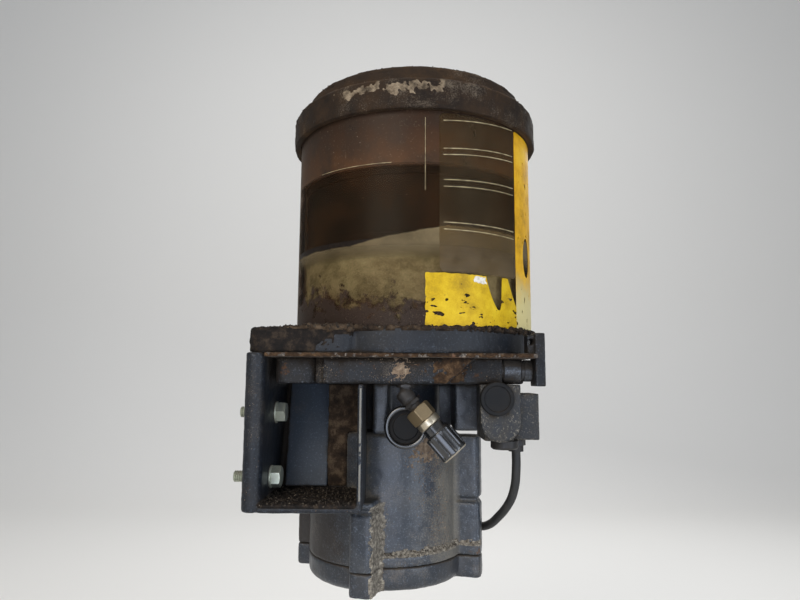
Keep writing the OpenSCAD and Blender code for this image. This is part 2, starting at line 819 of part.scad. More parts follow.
top_plate();
reservoir_base();
reservoir_tube();
lid();
lid_vent();
follower_plate();
grease();
side_bracket();
pocket_panel();
mounting_bolts();
pump_block();
end_block();
side_plug();
right_lug();
neck_casting();
motor_housing();
end_cover();
cover_screws();
filler_port();
filler_elbow();
filler_nut();
filler_ring();
dust_cap();
valve_body();
valve_cap();
valve_foot();
hose_fitting();
jumper_hose();
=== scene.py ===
"""Looks of an automatic lubrication pump: dusty painted castings, a stained clear reservoir, and dirt.

Sizes are in millimetres in the part's own frame, and become metres when a mesh is made. Places in materials
and in the studio are in metres.
"""

import math

import bmesh
import bpy
from mathutils import Matrix, Vector, noise


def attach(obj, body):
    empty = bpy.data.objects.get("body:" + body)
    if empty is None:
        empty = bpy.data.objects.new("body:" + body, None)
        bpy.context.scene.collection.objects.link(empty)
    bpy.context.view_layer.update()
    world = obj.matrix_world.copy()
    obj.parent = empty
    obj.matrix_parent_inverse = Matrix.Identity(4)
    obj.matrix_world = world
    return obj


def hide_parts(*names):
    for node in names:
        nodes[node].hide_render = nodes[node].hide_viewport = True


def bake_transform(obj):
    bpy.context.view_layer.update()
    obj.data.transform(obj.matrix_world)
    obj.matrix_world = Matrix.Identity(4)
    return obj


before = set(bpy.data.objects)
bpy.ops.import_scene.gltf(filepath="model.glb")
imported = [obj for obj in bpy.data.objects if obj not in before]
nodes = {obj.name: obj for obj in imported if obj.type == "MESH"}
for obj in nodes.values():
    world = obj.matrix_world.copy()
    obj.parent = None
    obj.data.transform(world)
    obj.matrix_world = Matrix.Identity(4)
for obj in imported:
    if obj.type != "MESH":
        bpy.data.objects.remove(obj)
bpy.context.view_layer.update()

# Main places and radii of the part, as in its source
MM = 0.001
AXIS = (113, 51.4)
ON_AXIS = (*AXIS, 0)
MOTOR = (93.6, 71.4)
TUBE_R, BORE_R, SLIDER_R = 92.5, 88.5, 88.2
TUBE_Z, TUBE_TOP = 80, 247
FOLLOWER_Z, FOLLOWER_TOP = 139, 192.5
LID_R, CROWN_R, LID_TOP, LID_RING_Z = 97.5, 90.2, 265.6, 229
BLOCK_Z = 42.5
FLANGE_TOP = -79.5
ROOT = (106.2, -25.3, 34.6)
NIPPLE = (0.6601, -0.0872, -0.7461)
HOSE_R = 3.25
HOSE_PATH = (
    (188.1, 19.4, -6.4), (188.2, 19.4, -14.3), (188.0, 20.4, -23.0), (187.5, 22.4, -31.2),
    (185.7, 27.4, -41.4), (182.1, 35.4, -51.0), (177.9, 45.4, -59.3), (174.6, 55.4, -65.7),
    (170.4, 65.4, -70.2), (165.6, 75.4, -72.4),
)


def srgb(code):
    """An sRGB hex colour as linear values."""
    parts = [int(code[i : i + 2], 16) / 255 for i in (1, 3, 5)]
    return (*[c / 12.92 if c <= 0.04045 else ((c + 0.055) / 1.055) ** 2.4 for c in parts], 1)


def add(tree, kind, sockets=None, **settings):
    """Adds a node to a tree with its settings, and its inputs set or linked."""
    node = tree.nodes.new(kind)
    for name, value in settings.items():
        setattr(node, name, value)
    for key, value in (sockets or {}).items():
        if isinstance(value, bpy.types.NodeSocket):
            tree.links.new(value, node.inputs[key])
        else:
            node.inputs[key].default_value = value
    return node


def per_m(size_mm):
    """The texture scale that gives features of a size in millimetres."""
    return 1 / (size_mm * MM)


def scene_object(name, data):
    """A new object, linked to the scene."""
    thing = bpy.data.objects.new(name, data)
    bpy.context.scene.collection.objects.link(thing)
    return thing


def new_material(name):
    """A new material, and its empty tree of nodes."""
    material = bpy.data.materials.new(name)
    material.use_nodes = True
    material.node_tree.nodes.clear()
    return material, material.node_tree


# Camera, at the photograph's place and angle
LENS_MM = 28
PITCH = math.radians(7.08)
ROLL = math.radians(0.348)
EYE = Vector((102.04, -448.95, 47.0)) * MM
ahead = Vector((0, math.cos(PITCH), math.sin(PITCH)))
level_up = Vector((0, -math.sin(PITCH), math.cos(PITCH)))
right = math.cos(ROLL) * Vector((1, 0, 0)) + math.sin(ROLL) * level_up
up = right.cross(ahead)
camera = scene_object("camera", bpy.data.cameras.new("camera"))
camera.data.lens = LENS_MM
camera.data.sensor_width = 36
camera.data.sensor_fit = "HORIZONTAL"
camera.data.clip_start = 0.01
camera.matrix_world = Matrix.Translation(EYE) @ Matrix((right, up, -ahead)).transposed().to_4x4()
bpy.context.scene.camera = camera
bpy.context.scene.view_settings.view_transform = "Standard"


# Studio: an even pale surround, soft lamps and a pale sweep, all in metres
SWEEP_COLOUR = srgb("#E4E2DE")
world = bpy.data.worlds.new("surround")
world.use_nodes = True
bpy.context.scene.world = world
sky = world.node_tree
sky.nodes.clear()
ray = add(sky, "ShaderNodeLightPath").outputs
seen = add(sky, "ShaderNodeMath", {0: ray["Is Camera Ray"], 1: ray["Is Transmission Ray"]},
           operation="MAXIMUM")
plain = add(sky, "ShaderNodeBackground", {"Color": srgb("#EEF3FA"), "Strength": 0.42})
shown = add(sky, "ShaderNodeBackground", {"Color": SWEEP_COLOUR, "Strength": 1.0})
both = add(sky, "ShaderNodeMixShader", {0: seen.outputs[0], 1: plain.outputs[0], 2: shown.outputs[0]})
add(sky, "ShaderNodeOutputWorld", {"Surface": both.outputs[0]})

MIDDLE = (0.1, 0.05, 0.08)
LAMPS = {
    # Place, target, size, watts, colour
    "key_lamp": ((-0.45, -1.05, 0.6), MIDDLE, (0.7, 0.7), 10, "#FFF8EE"),
    "front_lamp": ((0.1, -1.3, -0.15), (0.08, 0, -0.03), (1.0, 0.6), 7.5, "#DCE8FF"),
    "sky_lamp": ((1.05, -0.85, 0.15), MIDDLE, (0.5, 1.1), 7.5, "#E6F0FF"),
    "rear_lamp": ((0.5, 1.2, 0.9), MIDDLE, (1.0, 0.6), 8, "#FFFFFF"),
    "backdrop_lamp": ((0.1, 0.7, 1.5), (0.1, 2.2, 0.3), (2.0, 0.5), 9, "#FFFFFF"),
    "floor_lamp": ((0.1, -0.2, 1.9), (0.1, 0.8, -0.34), (2.0, 0.6), 6, "#FFFFFF"),
}
for name, (place, target, size, watts, colour) in LAMPS.items():
    lamp = scene_object(name, bpy.data.lights.new(name, "AREA"))
    lamp.data.shape = "RECTANGLE"
    lamp.data.size, lamp.data.size_y = size
    lamp.data.energy = watts
    lamp.data.color = srgb(colour)[:3]
    lamp.location = place
    lamp.rotation_mode = "QUATERNION"
    lamp.rotation_quaternion = (Vector(target) - Vector(place)).to_track_quat("-Z", "Y")


def make_sweep():
    """The floor, well below the hanging part, curving up into a backdrop."""
    front_y, back_y, floor_z, bend, half, top, parts = -2.5, 2.2, -0.34, 0.8, 3.5, 3.2, 16
    path = [(front_y, floor_z), (back_y - bend, floor_z)]
    for k in range(1, parts + 1):
        turn = k / parts * math.pi / 2
        path.append((back_y - bend + bend * math.sin(turn), floor_z + bend * (1 - math.cos(turn))))
    path.append((back_y, top))
    mesh = bpy.data.meshes.new("studio_sweep")
    points = [(x, y, z) for y, z in path for x in (-half, half)]
    faces = [(2 * i, 2 * i + 1, 2 * i + 3, 2 * i + 2) for i in range(len(path) - 1)]
    mesh.from_pydata(points, [], faces)
    mesh.shade_smooth()
    material, tree = new_material("matt_paper")
    paper = add(tree, "ShaderNodeBsdfDiffuse", {"Color": SWEEP_COLOUR})
    add(tree, "ShaderNodeOutputMaterial", {"Surface": paper.outputs[0]})
    mesh.materials.append(material)
    scene_object("studio_sweep", mesh)


make_sweep()


# Materials
def soiled(
    name, base, film, dirt, base_rough=0.42, film_share=0.35, dirt_bias=0.0, corner_mm=9, patch_mm=16,
    grain_mm=1.3, rust=None, rust_share=0.0, metallic=0.0, cast_mm=2.2, cast_depth=0.10, coat=0.0,
    specks=0.0, worn=None, shine=0.5, drift=None, grime=None,
):
    """A finish under road dirt: a thin film of dust in patches, and thick dirt on ledges and in corners.

    base, film, dirt, rust and worn are hex colours. drift is (start, full, end, share) of pale dust along x,
    and grime is (start, full) of dark earth, in metres.
    """
    material, tree = new_material(name)
    place = add(tree, "ShaderNodeTexCoord").outputs["Object"]
    facing = add(tree, "ShaderNodeNewGeometry")
    upward = add(tree, "ShaderNodeSeparateXYZ", {0: facing.outputs["Normal"]}).outputs["Z"]
    patches = add(tree, "ShaderNodeTexNoise",
                  {"Vector": place, "Scale": per_m(patch_mm), "Detail": 5.0, "Roughness": 0.62}).outputs[0]
    grain = add(tree, "ShaderNodeTexNoise",
                {"Vector": place, "Scale": per_m(grain_mm), "Detail": 3.0, "Roughness": 0.7}).outputs[0]
    skin = add(tree, "ShaderNodeTexNoise",
               {"Vector": place, "Scale": per_m(cast_mm), "Detail": 2.0, "Roughness": 0.5}).outputs[0]
    corner = add(tree, "ShaderNodeAmbientOcclusion", {"Distance": corner_mm * MM}, samples=8).outputs["AO"]

    # Dirt sits in corners and on ledges, broken up by patches and grain
    hidden = add(tree, "ShaderNodeMath", {0: 1.0, 1: corner}, operation="SUBTRACT").outputs[0]
    ledge = add(tree, "ShaderNodeMath", {0: upward, 1: 0.5}, operation="MULTIPLY").outputs[0]
    ledge = add(tree, "ShaderNodeMath", {0: ledge, 1: 0.0}, operation="MAXIMUM").outputs[0]
    heap = add(tree, "ShaderNodeMath", {0: hidden, 1: 0.9, 2: ledge}, operation="MULTIPLY_ADD").outputs[0]
    heap = add(tree, "ShaderNodeMath", {0: patches, 1: 1.6, 2: heap}, operation="MULTIPLY_ADD").outputs[0]
    heap = add(tree, "ShaderNodeMath", {0: grain, 1: 0.5, 2: heap}, operation="MULTIPLY_ADD").outputs[0]
    thick = add(tree, "ShaderNodeMapRange",
                {"Value": heap, "From Min": 1.38 - dirt_bias, "From Max": 1.72 - dirt_bias},
                interpolation_type="SMOOTHSTEP").outputs[0]
    thin = add(tree, "ShaderNodeMapRange",
               {"Value": heap, "From Min": 0.75 - dirt_bias, "From Max": 1.6 - dirt_bias,
                "To Max": film_share},
               interpolation_type="SMOOTHSTEP").outputs[0]

    # The borders of dust and earth are broken up by noise, whose mean of 0.04 is added to their places
    if drift or grime:
        across = add(tree, "ShaderNodeSeparateXYZ", {0: place}).outputs["X"]
        shifted = add(tree, "ShaderNodeMath", {0: patches, 1: 0.05, 2: across},
                      operation="MULTIPLY_ADD").outputs[0]
        shifted = add(tree, "ShaderNodeMath", {0: grain, 1: 0.03, 2: shifted},
                      operation="MULTIPLY_ADD").outputs[0]
    if drift:
        blown = add(tree, "ShaderNodeMapRange",
                    {"Value": shifted, "From Min": drift[0] + 0.04, "From Max": drift[1] + 0.04,
                     "To Max": drift[3]},
                    interpolation_type="SMOOTHSTEP").outputs[0]
        beyond = add(tree, "ShaderNodeMapRange",
                     {"Value": across, "From Min": drift[2], "From Max": drift[2] - 0.004}).outputs[0]
        blown = add(tree, "ShaderNodeMath", {0: beyond, 1: blown}, operation="MULTIPLY").outputs[0]
        blown = add(tree, "ShaderNodeMath", {0: grain, 1: blown}, operation="MULTIPLY").outputs[0]
        thin = add(tree, "ShaderNodeMath", {0: thin, 1: blown}, operation="ADD", use_clamp=True).outputs[0]
    if grime:
        dark = add(tree, "ShaderNodeMapRange",
                   {"Value": shifted, "From Min": grime[0] + 0.04, "From Max": grime[1] + 0.04,
                    "To Max": 0.9},
                   interpolation_type="SMOOTHSTEP").outputs[0]

    colour = srgb(base)
    rough = base_rough
    metal = metallic
    if worn:
        raised = add(tree, "ShaderNodeMath", {0: facing.outputs["Pointiness"], 1: grain},
                     operation="MULTIPLY").outputs[0]
        raised = add(tree, "ShaderNodeMapRange",
                     {"Value": raised, "From Min": 0.285, "From Max": 0.36}).outputs[0]
        colour = add(tree, "ShaderNodeMix", {0: raised, 6: colour, 7: srgb(worn)},
                     data_type="RGBA").outputs[2]
    if rust:
        spread = add(tree, "ShaderNodeTexNoise",
                     {"Vector": place, "Scale": per_m(patch_mm * 0.7), "Detail": 6.0,
                      "Roughness": 0.7}).outputs[0]
        rusted = add(tree, "ShaderNodeMapRange",
                     {"Value": spread, "From Min": 0.66 - rust_share, "From Max": 0.74 - rust_share},
                     interpolation_type="SMOOTHSTEP").outputs[0]
        tones = add(tree, "ShaderNodeMix", {0: grain, 6: srgb(rust), 7: srgb("#5F4129")}, data_type="RGBA")
        colour = add(tree, "ShaderNodeMix", {0: rusted, 6: colour, 7: tones.outputs[2]},
                     data_type="RGBA").outputs[2]
        rough = add(tree, "ShaderNodeMix", {0: rusted, 2: base_rough, 3: 0.9}).outputs[0]
    colour = add(tree, "ShaderNodeMix", {0: thin, 6: colour, 7: srgb(film)}, data_type="RGBA").outputs[2]
    rough = add(tree, "ShaderNodeMix", {0: thin, 2: rough, 3: 0.95}).outputs[0]
    earth = add(tree, "ShaderNodeMix", {0: grain, 6: srgb(dirt), 7: srgb(film)}, data_type="RGBA").outputs[2]
    colour = add(tree, "ShaderNodeMix", {0: thick, 6: colour, 7: earth}, data_type="RGBA").outputs[2]
    if grime:
        colour = add(tree, "ShaderNodeMix", {0: dark, 6: colour, 7: srgb("#241D17")},
                     data_type="RGBA").outputs[2]
        rough = add(tree, "ShaderNodeMix", {0: dark, 2: rough, 3: 0.7}).outputs[0]
    if specks:
        spots = add(tree, "ShaderNodeTexNoise",
                    {"Vector": place, "Scale": per_m(0.8), "Detail": 2.0, "Roughness": 0.7}).outputs[0]
        drifts = add(tree, "ShaderNodeTexNoise",
                     {"Vector": place, "Scale": per_m(28), "Detail": 4.0, "Roughness": 0.65}).outputs[0]
        spots = add(tree, "ShaderNodeMath", {0: drifts, 1: 1.3, 2: spots},
                    operation="MULTIPLY_ADD").outputs[0]
        spots = add(tree, "ShaderNodeMapRange",
                    {"Value": spots, "From Min": 1.27, "From Max": 1.5, "To Max": specks}).outputs[0]
        colour = add(tree, "ShaderNodeMix", {0: spots, 6: colour, 7: srgb("#7A6E5E")},
                     data_type="RGBA").outputs[2]
    rough = add(tree, "ShaderNodeMix", {0: thick, 2: rough, 3: 1.0}).outputs[0]
    if metallic:
        metal = add(tree, "ShaderNodeMix", {0: thick, 2: metallic, 3: 0.0}).outputs[0]

    crust = add(tree, "ShaderNodeMath", {0: thick, 1: grain}, operation="MULTIPLY").outputs[0]
    relief = add(tree, "ShaderNodeMath", {0: crust, 1: 4.0, 2: skin}, operation="MULTIPLY_ADD").outputs[0]
    bump = add(tree, "ShaderNodeBump", {"Height": relief, "Distance": cast_depth * MM}).outputs[0]
    surface = add(tree, "ShaderNodeBsdfPrincipled",
                  {"Base Color": colour, "Roughness": rough, "Metallic": metal, "Normal": bump,
                   "Coat Weight": coat, "Coat Roughness": 0.2, "Specular IOR Level": shine})
    add(tree, "ShaderNodeOutputMaterial", {"Surface": surface.outputs[0]})
    return material


# Cast iron under satin blue-black machine enamel: soft highlights, dull where dust clings
enamel = soiled("satin_enamel", "#181F28", "#453F37", "#2B221A", base_rough=0.34, film_share=0.4,
                rust="#33241B", rust_share=0.03, specks=0.25, worn="#4F5863", coat=0.15)
# The same enamel on the motor housing, with pale dust blown over its right side and dark earth on its left
dusty_enamel = soiled("dusty_enamel", "#1A222C", "#6A655B", "#2E261E", base_rough=0.36, film_share=0.2,
                      rust="#33241B", rust_share=0.03, specks=0.35, worn="#56606C", coat=0.15,
                      drift=(0.114, 0.144, 0.15, 1.3), grime=(0.072, 0.048))
# The same enamel where it is nearly clean
clean_enamel = soiled("clean_enamel", "#13171D", "#35302A", "#2B221A", film_share=0.25, rust="#33241B",
                      specks=0.15, worn="#363D46", patch_mm=24, shine=0.25)
# The same enamel under a pale film of dried mud
filmed_enamel = soiled("filmed_enamel", "#14171B", "#403B33", "#241C15", base_rough=0.4, film_share=0.5,
                       specks=0.6, worn="#7A7468", patch_mm=7, dirt_bias=0.05, shine=0.35)
# The same enamel where oily earth clings to most of it, on a base darkened as painted shade
muddy_shaded_enamel = soiled("muddy_shaded_enamel", "#0D1014", "#261F17", "#18120D", base_rough=0.36, film_share=0.55,
                      rust="#33241A", rust_share=0.06, dirt_bias=0.08, specks=0.35, worn="#4A5058",
                      patch_mm=17, shine=0.22)
# The same enamel on the raised panel in the pocket, less dirty, with a much lighter base: painted light that
# lifts the shade in the pocket
pocket_enamel_painted_light = soiled("pocket_enamel_painted_light", "#3F464F", "#45433F", "#2B241D", base_rough=0.5, film_share=0.22,
                       dirt_bias=-0.15, worn="#5C6673", specks=0.25, shine=0.3)
# Paint rubbed thin on an edge, with steel and primer showing
rubbed_paint = soiled("rubbed_paint", "#6E6C66", "#7B7264", "#33291F", base_rough=0.5, film_share=0.5,
                      metallic=0.3, patch_mm=5, grain_mm=0.8, cast_mm=0.8, cast_depth=0.05)
# Steel plate with most of its paint gone: matt brown rust
rusty_steel = soiled("rusty_steel", "#2A2521", "#5C4F41", "#33291F", base_rough=0.65, rust="#4A2F20",
                     rust_share=0.14, dirt_bias=0.1, worn="#8A8074", specks=0.4)
# Moulded black polyethylene, weathered grey-brown and dusty
lid_plastic = soiled("weathered_polyethylene", "#18120D", "#3A2B1D", "#4C3A28", base_rough=0.6,
                     film_share=0.7, dirt_bias=0.1, patch_mm=18, specks=0.45, shine=0.14)
# Zinc-plated steel gone dull: pale grey-green metal
dull_zinc = soiled("dull_zinc", "#BBBFAE", "#8A8475", "#544C3F", film_share=0.4, metallic=0.85, patch_mm=6,
                   grain_mm=0.6, cast_mm=0.5, cast_depth=0.03, dirt_bias=-0.12, corner_mm=3)
# Yellow-passivated zinc: warm straw metal, satin
straw_zinc = soiled("straw_zinc", "#7C6D54", "#75654C", "#40352A", base_rough=0.36, film_share=0.5,
                    metallic=0.85, patch_mm=6, grain_mm=0.6, cast_mm=0.4, cast_depth=0.03, dirt_bias=-0.15,
                    corner_mm=2)
# Bright zinc on the turned ring
bright_zinc = soiled("bright_zinc", "#B3A893", "#857A68", "#4A4034", base_rough=0.28, film_share=0.45,
                     metallic=0.9, patch_mm=5, grain_mm=0.6, cast_mm=0.4, cast_depth=0.02, dirt_bias=-0.3,
                     corner_mm=2)
# Black nylon, moulded: a glossy skin with a little dust
black_nylon = soiled("black_nylon", "#0F1113", "#3E3831", "#2E2720", base_rough=0.2, film_share=0.2,
                     patch_mm=7, grain_mm=0.8, cast_mm=0.8, cast_depth=0.02, dirt_bias=-0.18, corner_mm=2,
                     coat=0.8)
# The same nylon gone dull
dull_nylon = soiled("dull_nylon", "#0F1012", "#37312A", "#2B241C", base_rough=0.62, film_share=0.2,
                    patch_mm=9, grain_mm=0.8, cast_mm=0.8, cast_depth=0.03, dirt_bias=-0.05, corner_mm=3,
                    shine=0.2)
# The same nylon scuffed pale at the end of the cap
scuffed_nylon = soiled("scuffed_nylon", "#8B8270", "#5E5443", "#3A3026", base_rough=0.7, film_share=0.6,
                       patch_mm=3, grain_mm=0.6, cast_mm=0.6, cast_depth=0.05, dirt_bias=-0.1, corner_mm=1)
# Steel fittings, blackened by grease and dirt
grimy_steel = soiled("grimy_steel", "#1F1E1E", "#352E26", "#211A14", film_share=0.45, metallic=0.3,
                     patch_mm=6, grain_mm=0.9, cast_mm=0.8, cast_depth=0.05, dirt_bias=0.05, corner_mm=4)
# Nitrile rubber hose: matt black
hose_rubber = soiled("nitrile_rubber", "#171717", "#4C463D", "#2E2720", base_rough=0.6, film_share=0.3,
                     patch_mm=9, grain_mm=0.9, cast_mm=0.7, cast_depth=0.04, dirt_bias=-0.1, corner_mm=3)


def stained_plastic():
    """The tube: clear plastic, coated brown by old grease above the follower, thinly smeared below it."""
    material, tree = new_material("stained_clear_plastic")
    place = add(tree, "ShaderNodeTexCoord").outputs["Object"]
    height = add(tree, "ShaderNodeSeparateXYZ", {0: place}).outputs["Z"]
    runs = add(tree, "ShaderNodeTexNoise",
               {"Vector": place, "Scale": per_m(24), "Detail": 7.0, "Roughness": 0.62}).outputs[0]
    fine = add(tree, "ShaderNodeTexNoise",
               {"Vector": place, "Scale": per_m(1.6), "Detail": 4.0, "Roughness": 0.7}).outputs[0]

    # How much the stain covers: the top, the back, and blots at the foot
    above = add(tree, "ShaderNodeMapRange",
                {"Value": height, "From Min": 0.1895, "From Max": 0.193, "To Min": 0.1, "To Max": 0.95},
                interpolation_type="SMOOTHSTEP").outputs[0]
    cover = add(tree, "ShaderNodeMath", {0: runs, 1: 0.4, 2: -0.2}, operation="MULTIPLY_ADD").outputs[0]
    cover = add(tree, "ShaderNodeMath", {0: cover, 1: above}, operation="ADD", use_clamp=True).outputs[0]
    back = add(tree, "ShaderNodeSeparateXYZ", {0: place}).outputs["Y"]
    back = add(tree, "ShaderNodeMath", {0: runs, 1: 0.06, 2: back}, operation="MULTIPLY_ADD").outputs[0]
    back = add(tree, "ShaderNodeMapRange",
               {"Value": back, "From Min": 0.045, "From Max": 0.062},
               interpolation_type="SMOOTHSTEP").outputs[0]
    cover = add(tree, "ShaderNodeMath", {0: cover, 1: back}, operation="MAXIMUM").outputs[0]
    blots = add(tree, "ShaderNodeTexNoise",
                {"Vector": place, "Scale": per_m(9), "Detail": 8.0, "Roughness": 0.68}).outputs[0]
    left = add(tree, "ShaderNodeSeparateXYZ", {0: place}).outputs["X"]
    rise = add(tree, "ShaderNodeMath", {0: left, 1: 0.12, 2: height}, operation="MULTIPLY_ADD").outputs[0]
    foot = add(tree, "ShaderNodeMapRange",
               {"Value": rise, "From Min": 0.13, "From Max": 0.092, "To Min": -0.12,
                "To Max": 0.27}).outputs[0]
    foot = add(tree, "ShaderNodeMath", {0: foot, 1: blots}, operation="ADD").outputs[0]
    foot = add(tree, "ShaderNodeMapRange",
               {"Value": foot, "From Min": 0.56, "From Max": 0.66, "To Max": 0.9}).outputs[0]
    cover = add(tree, "ShaderNodeMath", {0: cover, 1: foot}, operation="MAXIMUM", use_clamp=True).outputs[0]

    # Its brown, by height and in patches
    tall = add(tree, "ShaderNodeMapRange", {"Value": height, "From Min": 0.19, "From Max": 0.222}).outputs[0]
    stain = add(tree, "ShaderNodeMix", {0: tall, 6: srgb("#4A311D"), 7: srgb("#301F13")},
                data_type="RGBA").outputs[2]
    patchy = add(tree, "ShaderNodeMapRange", {"Value": runs, "From Min": 0.3, "From Max": 0.6}).outputs[0]
    stain = add(tree, "ShaderNodeMix", {0: patchy, 6: srgb("#2C221A"), 7: stain},
                data_type="RGBA").outputs[2]
    stain = add(tree, "ShaderNodeMix", {0: foot, 6: stain, 7: srgb("#2A201A")}, data_type="RGBA").outputs[2]
    rear = add(tree, "ShaderNodeMix", {0: patchy, 6: srgb("#241B13"), 7: srgb("#46382A")},
               data_type="RGBA").outputs[2]
    stain = add(tree, "ShaderNodeMix", {0: back, 6: stain, 7: rear}, data_type="RGBA").outputs[2]

    # A smear slants across the follower's lower edge: grease above it at the right, dark below at the left
    border, slant = FOLLOWER_Z * MM, 0.192
    lean = add(tree, "ShaderNodeMath", {0: left, 1: slant, 2: 0.003 - slant * AXIS[0] * MM},
               operation="MULTIPLY_ADD")
    lean = add(tree, "ShaderNodeClamp", {"Value": lean.outputs[0], "Min": -0.0058, "Max": 0.007}).outputs[0]
    lean = add(tree, "ShaderNodeMath", {0: blots, 1: 0.003, 2: lean}, operation="MULTIPLY_ADD").outputs[0]
    over = add(tree, "ShaderNodeMath", {0: height, 1: lean}, operation="SUBTRACT").outputs[0]
    over = add(tree, "ShaderNodeMapRange",
               {"Value": over, "From Min": border + 0.001, "From Max": border + 0.0018}).outputs[0]
    under = add(tree, "ShaderNodeMath", {0: 1.0, 1: over}, operation="SUBTRACT").outputs[0]
    high = add(tree, "ShaderNodeMapRange",
               {"Value": height, "From Min": border - 0.014, "From Max": border - 0.001}).outputs[0]
    near = add(tree, "ShaderNodeMath", {0: 1.0, 1: back}, operation="SUBTRACT").outputs[0]
    high = add(tree, "ShaderNodeMath", {0: high, 1: near}, operation="MULTIPLY").outputs[0]
    low = add(tree, "ShaderNodeMath", {0: height, 1: border + 0.001}, operation="LESS_THAN").outputs[0]
    grease = add(tree, "ShaderNodeMath", {0: under, 1: high}, operation="MULTIPLY").outputs[0]
    dark = add(tree, "ShaderNodeMath", {0: over, 1: low}, operation="MULTIPLY").outputs[0]
    dark = add(tree, "ShaderNodeMath", {0: dark, 1: near}, operation="MULTIPLY").outputs[0]
    tint = add(tree, "ShaderNodeMath", {0: grease, 1: 8.0}, operation="MULTIPLY", use_clamp=True).outputs[0]
    pale = add(tree, "ShaderNodeMapRange", {"Value": runs, "From Min": 0.3, "From Max": 0.65}).outputs[0]
    pale = add(tree, "ShaderNodeMix", {0: pale, 6: srgb("#463B26"), 7: srgb("#6C5E44")},
               data_type="RGBA").outputs[2]
    stain = add(tree, "ShaderNodeMix", {0: tint, 6: stain, 7: pale}, data_type="RGBA").outputs[2]
    stain = add(tree, "ShaderNodeMix", {0: dark, 6: stain, 7: srgb("#150D08")}, data_type="RGBA").outputs[2]
    smear = add(tree, "ShaderNodeMath", {0: grease, 1: dark}, operation="ADD").outputs[0]
    smear = add(tree, "ShaderNodeMath", {0: smear, 1: 0.92}, operation="MULTIPLY").outputs[0]
    cover = add(tree, "ShaderNodeMath", {0: cover, 1: smear}, operation="MAXIMUM", use_clamp=True).outputs[0]

    # Grit on the skin, and a thin gloss on its outside, duller where runs of dust are
    gritty = add(tree, "ShaderNodeMapRange",
                 {"Value": fine, "From Min": 0.6, "From Max": 0.75, "To Max": 0.35})
    stain = add(tree, "ShaderNodeMix", {0: gritty.outputs[0], 6: stain, 7: srgb("#8A7A60")},
                data_type="RGBA").outputs[2]
    bump = add(tree, "ShaderNodeBump", {"Height": fine, "Distance": 0.03 * MM}).outputs[0]
    coat = add(tree, "ShaderNodeBsdfPrincipled",
               {"Base Color": stain, "Roughness": 0.6, "Normal": bump, "Specular IOR Level": 0.12})
    clear = add(tree, "ShaderNodeBsdfTransparent", {"Color": srgb("#F1EBDD")})
    body = add(tree, "ShaderNodeMixShader", {0: cover, 1: clear.outputs[0], 2: coat.outputs[0]})
    gloss = add(tree, "ShaderNodeBsdfGlossy", {"Color": srgb("#E8DCCB"), "Roughness": 0.3})
    edge = add(tree, "ShaderNodeFresnel", {"IOR": 1.4}).outputs[0]
    edge = add(tree, "ShaderNodeMath", {0: edge, 1: 0.3}, operation="MINIMUM").outputs[0]
    dusty = add(tree, "ShaderNodeMapRange",
                {"Value": runs, "From Min": 0.4, "From Max": 0.6, "To Min": 0.14, "To Max": 0.05}).outputs[0]
    edge = add(tree, "ShaderNodeMath", {0: edge, 1: dusty}, operation="MULTIPLY").outputs[0]
    inside = add(tree, "ShaderNodeNewGeometry").outputs["Backfacing"]
    outside = add(tree, "ShaderNodeMath", {0: 1.0, 1: inside}, operation="SUBTRACT").outputs[0]
    edge = add(tree, "ShaderNodeMath", {0: edge, 1: outside}, operation="MULTIPLY").outputs[0]
    skin = add(tree, "ShaderNodeMixShader", {0: edge, 1: body.outputs[0], 2: gloss.outputs[0]})
    add(tree, "ShaderNodeOutputMaterial", {"Surface": skin.outputs[0]})
    return material


def mottled(name, tones, size_mm, rough, stretch=(1, 1, 1), relief=0.0, grain_mm=1.2, shine=0.5, fade=None):
    """A finish of three tones that run into each other in patches, with a fine grain.

    fade is (top, foot, hex colour) of a tone that it bleaches to on the way down, in metres.
    """
    material, tree = new_material(name)
    place = add(tree, "ShaderNodeTexCoord").outputs["Object"]
    drawn = add(tree, "ShaderNodeMapping", {"Vector": place, "Scale": stretch}).outputs[0]
    patches = add(tree, "ShaderNodeTexNoise",
                  {"Vector": drawn, "Scale": per_m(size_mm), "Detail": 5.0, "Roughness": 0.6}).outputs[0]
    grain = add(tree, "ShaderNodeTexNoise",
                {"Vector": place, "Scale": per_m(grain_mm), "Detail": 3.0, "Roughness": 0.7}).outputs[0]
    mixed = add(tree, "ShaderNodeMath", {0: grain, 1: 0.35, 2: patches}, operation="MULTIPLY_ADD").outputs[0]
    low = add(tree, "ShaderNodeMapRange", {"Value": mixed, "From Min": 0.5, "From Max": 0.68}).outputs[0]
    high = add(tree, "ShaderNodeMapRange", {"Value": mixed, "From Min": 0.68, "From Max": 0.86}).outputs[0]
    colour = add(tree, "ShaderNodeMix", {0: low, 6: srgb(tones[0]), 7: srgb(tones[1])},
                 data_type="RGBA").outputs[2]
    colour = add(tree, "ShaderNodeMix", {0: high, 6: colour, 7: srgb(tones[2])}, data_type="RGBA").outputs[2]
    if fade:
        # Its border is broken up by the patches, whose mean of 0.015 is added to its place
        height = add(tree, "ShaderNodeSeparateXYZ", {0: place}).outputs["Z"]
        height = add(tree, "ShaderNodeMath", {0: patches, 1: 0.03, 2: height},
                     operation="MULTIPLY_ADD").outputs[0]
        bleached = add(tree, "ShaderNodeMapRange",
                       {"Value": height, "From Min": fade[0] + 0.015, "From Max": fade[1] + 0.015},
                       interpolation_type="SMOOTHSTEP").outputs[0]
        colour = add(tree, "ShaderNodeMix", {0: bleached, 6: colour, 7: srgb(fade[2])},
                     data_type="RGBA").outputs[2]
    sockets = {"Base Color": colour, "Roughness": rough, "Specular IOR Level": shine}
    if relief:
        bump = add(tree, "ShaderNodeBump", {"Height": mixed, "Distance": relief * MM}).outputs[0]
        sockets["Normal"] = bump
    surface = add(tree, "ShaderNodeBsdfPrincipled", sockets)
    add(tree, "ShaderNodeOutputMaterial", {"Surface": surface.outputs[0]})
    return material


